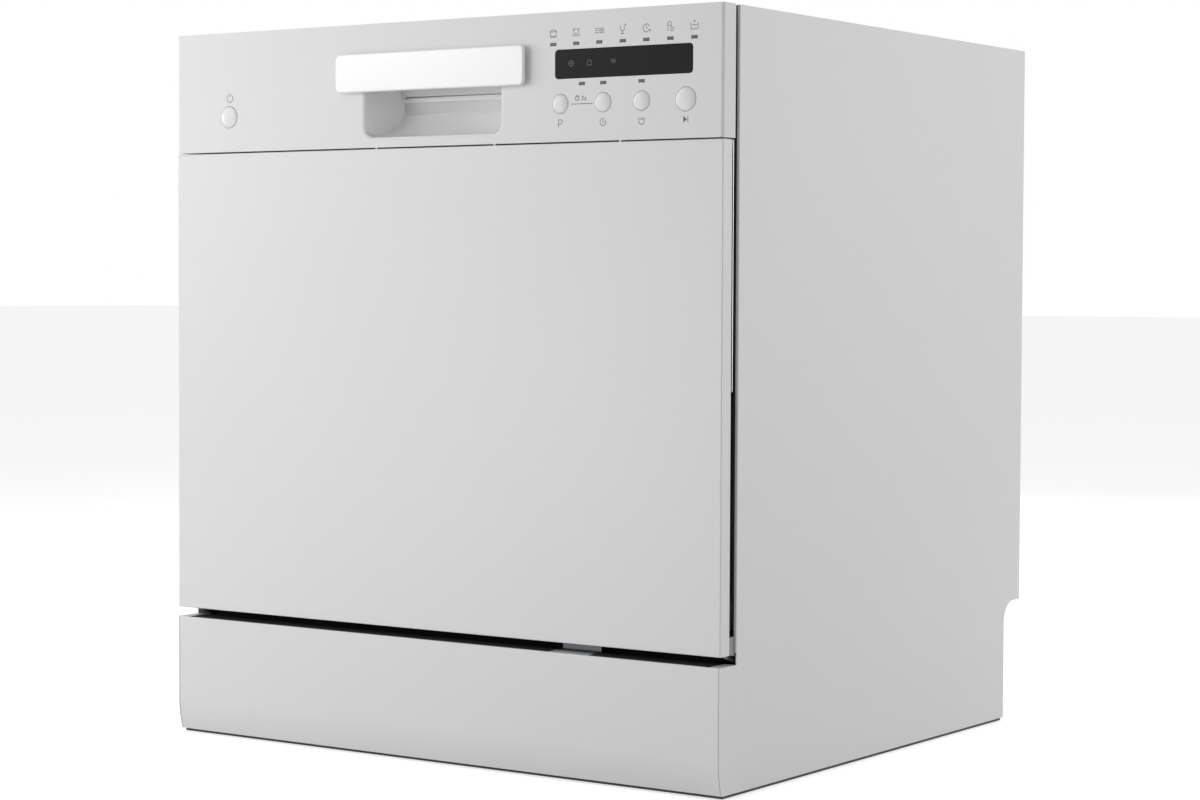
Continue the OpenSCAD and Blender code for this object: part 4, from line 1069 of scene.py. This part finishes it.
# Stainless sieve: holes 1.8 mm wide on a 4 mm grid, painted dark as the shade seen through them, coarser than
# a real sieve so that they show.
HOLE_SHADE = "202122"
SIEVE_PITCH = 4
SIEVE_HOLE_R = 0.9
SIEVE = perforated("perforated_stainless", MATERIALS["stainless"], SIEVE_PITCH, SIEVE_HOLE_R)
for held in softened("coarse_filter", rest=0.3).material_slots:
    held.material = SIEVE

# ---------------- tub, door inside, hinges

TUB_IN = (255, 149, 572, 479)
TUB_OUT = (256, 148, 573, 480)


def tub_corners(x, low, high, back):
    """A test for the long edges of the tub box: floor and ceiling sides, and round its back."""
    return any_of(both_near(x=x, z=low),
                  both_near(x=x, z=high),
                  both_tests(both_near(x=x, d=back), along("z")),
                  both_tests(both_near(d=back, z=low), along("x")),
                  both_tests(both_near(d=back, z=high), along("x")))


LINER_X = 266
LINER_D = 46
LINER_Z = (122, 590)
LID_D = 48.7
softened("tub", (tub_corners(*TUB_IN), 9, 5), (tub_corners(*TUB_OUT), 10, 5), rest=0.2)
softened("door_inner_liner",
         (any_of(both_near(d=LINER_D, x=LINER_X),
                 both_near(d=LINER_D, z=LINER_Z[0]),
                 both_near(d=LINER_D, z=LINER_Z[1])), 2.2, 4),
         (both_tests(both_near(x=LINER_X), along("d", 10)), 2.2, 4), rest=0)
softened("door_seals", rest=1.2)
softened("dispenser_body", rest=0.6)
softened("dispenser_lid", (both_near(d=LID_D), 0.8, 3), rest=0.2)
softened("rinse_aid_cap", rest=0.6)
softened("cup_shelf", rest=0.8)
softened("feet", rest=0.8)
# The front brackets take the copy of zinc that is darkened as painted shade.
softened("front_brackets", material=SHADED_DULL_ZINC)
for node in ("side_trims", "latch_strike", "rail_brackets", "hinge_arms", "door_lock", "latch_claw",
             "upper_rails"):
    softened(node)
for node in ("upper_front_rollers", "upper_rear_rollers", "lower_front_wheels", "lower_rear_wheels",
             "micro_filter", "salt_cap", "float_switch_dome", "wash_manifold", "sump", "wash_pump_housing",
             "wash_motor", "drain_pump", "flow_heater", "softener_tank", "inlet_valve", "drain_outlet",
             "cable_gland", "air_break", "base_tray"):
    softened(node, rest=0.5)

# The cup shelf turns in two bearings on the upper basket's left wall.
SHELF_BEARINGS = (116, 396)
BEARING_X = (-226.5, -217)
BEARING_D = 8
BEARING_Z = (425.5, 434.5)
skin = bmesh.new()
for d in SHELF_BEARINGS:
    box_into(skin, (BEARING_X[0], d, BEARING_Z[0]), (BEARING_X[1], d + BEARING_D, BEARING_Z[1]))
built("cup_shelf_bearings", skin, "upper_basket", "coated_wire", edge=0.8)

# Hinge springs: on the machine a coil stays with the cabinet and the door draws out a hook rod; here each
# spring is one fixed wire on no body.
SPRING_X = 261
SPRING_FRONT = (40, 103)
SPRING_REAR = (180, 59)
ROD_SHARE = 0.16
ROD_STEPS = 5
COIL_END = 0.95
COILS = 26
COIL_R = 3.3
TURN_STEPS = 10
SPRING_WIRE_R = 0.8


def hinge_spring(name, side):
    """One spring, left (-1) or right (1), as a single wire from the door's hook to the cabinet's."""
    axis = Vector((0, SPRING_REAR[0] - SPRING_FRONT[0], SPRING_REAR[1] - SPRING_FRONT[1]))
    up = Vector((0, -axis.z, axis.y)).normalized()
    across = Vector((1, 0, 0))
    first = Vector((side * SPRING_X, *SPRING_FRONT))
    run = [tuple(first + axis * ROD_SHARE * i / ROD_STEPS) for i in range(ROD_STEPS)]
    steps = COILS * TURN_STEPS
    for i in range(steps + 1):
        share = ROD_SHARE + (COIL_END - ROD_SHARE) * i / steps
        turn = 2 * math.pi * i / TURN_STEPS
        run.append(tuple(first + axis * share + (up * math.cos(turn) + across * math.sin(turn)) * COIL_R))
    run.append(tuple(first + axis))
    spring = wires(name, [run], SPRING_WIRE_R, 0, None, "zinc_steel", node="door_springs")
    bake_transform(spring)


hinge_spring("spring_left", -1)
hinge_spring("spring_right", 1)

# ---------------- back


def cross_slots(name, points, reach, width, depths, body):
    """A cross of painted shade on each screw head, dark bars for the shade in its slots: a bar across, and an
    upright one of a slightly different depth.
    """
    for kind, size in (("slots", (reach, depths[0], width)), ("cross", (width, depths[1], reach))):
        run_tree(f"{name}_{kind}", BARS, points, [],
                 dict(zip(("Bar width", "Bar depth", "Bar height"), size)), body, "dark_plastic")


def pipe_rings(centre, radius, first, pitch, count):
    """Closed rings about a line that runs back, at an even pitch from one depth on."""
    turns = [math.pi * i / 24 for i in range(49)]
    return [[(centre[0] + radius * math.cos(a), first + pitch * k, centre[1] + radius * math.sin(a))
             for a in turns] for k in range(count)]


softened("back_panel", rest=0)
softened("case_screws", rest=0.3)
CASE_SLOT_D = 500.02
SCREWS = [(x, CASE_SLOT_D, z) for x in (-260.2, 260.2) for z in (130, 565)]
cross_slots("case_screw", SCREWS, 4, 0.9, (0.1, 0.12), "cabinet")

HEAD_D = 46.6
SLOT_D = 47.2
DOOR_SCREWS = [(x, z) for x in (-242, 242) for z in (160, 349, 560)]
run_tree("inner_screw_heads", STUDS, [(x, HEAD_D, z) for x, z in DOOR_SCREWS], [],
         {"Stud radius": 3.2, "Rim radius": 4, "Stud height": 1.2}, "door", "stainless",
         node="inner_door_screws")
cross_slots("inner_screw", [(x, SLOT_D, z) for x, z in DOOR_SCREWS], 3.6, 0.8, (0.12, 0.14), "door")

# Pressed stiffening ribs of the back panel.
BACK_RIB_X = (-150, 0, 150)
BACK_RIB_HALF = 9
BACK_RIB_D = (499.5, 501)
BACK_RIB_Z = (170, 540)
skin = bmesh.new()
for x in BACK_RIB_X:
    box_into(skin, (x - BACK_RIB_HALF, BACK_RIB_D[0], BACK_RIB_Z[0]),
             (x + BACK_RIB_HALF, BACK_RIB_D[1], BACK_RIB_Z[1]))
built("back_panel_ribs", skin, "cabinet", "zinc_steel", edge=0.7)

# Threads of the water inlet: rings of a fine pipe thread, drawn a little coarser.
INLET = (205, 52)
wires("inlet_thread", pipe_rings(INLET, 13.1, 475, 1.9, 9), 0.55, 0, "cabinet", "light_polypropylene")

# Hose barbs of the drain outlet.
DRAIN = (150, 52)
wires("drain_barbs", pipe_rings(DRAIN, 9.8, 479, 5, 4), 0.7, 0, "cabinet", "dark_plastic")
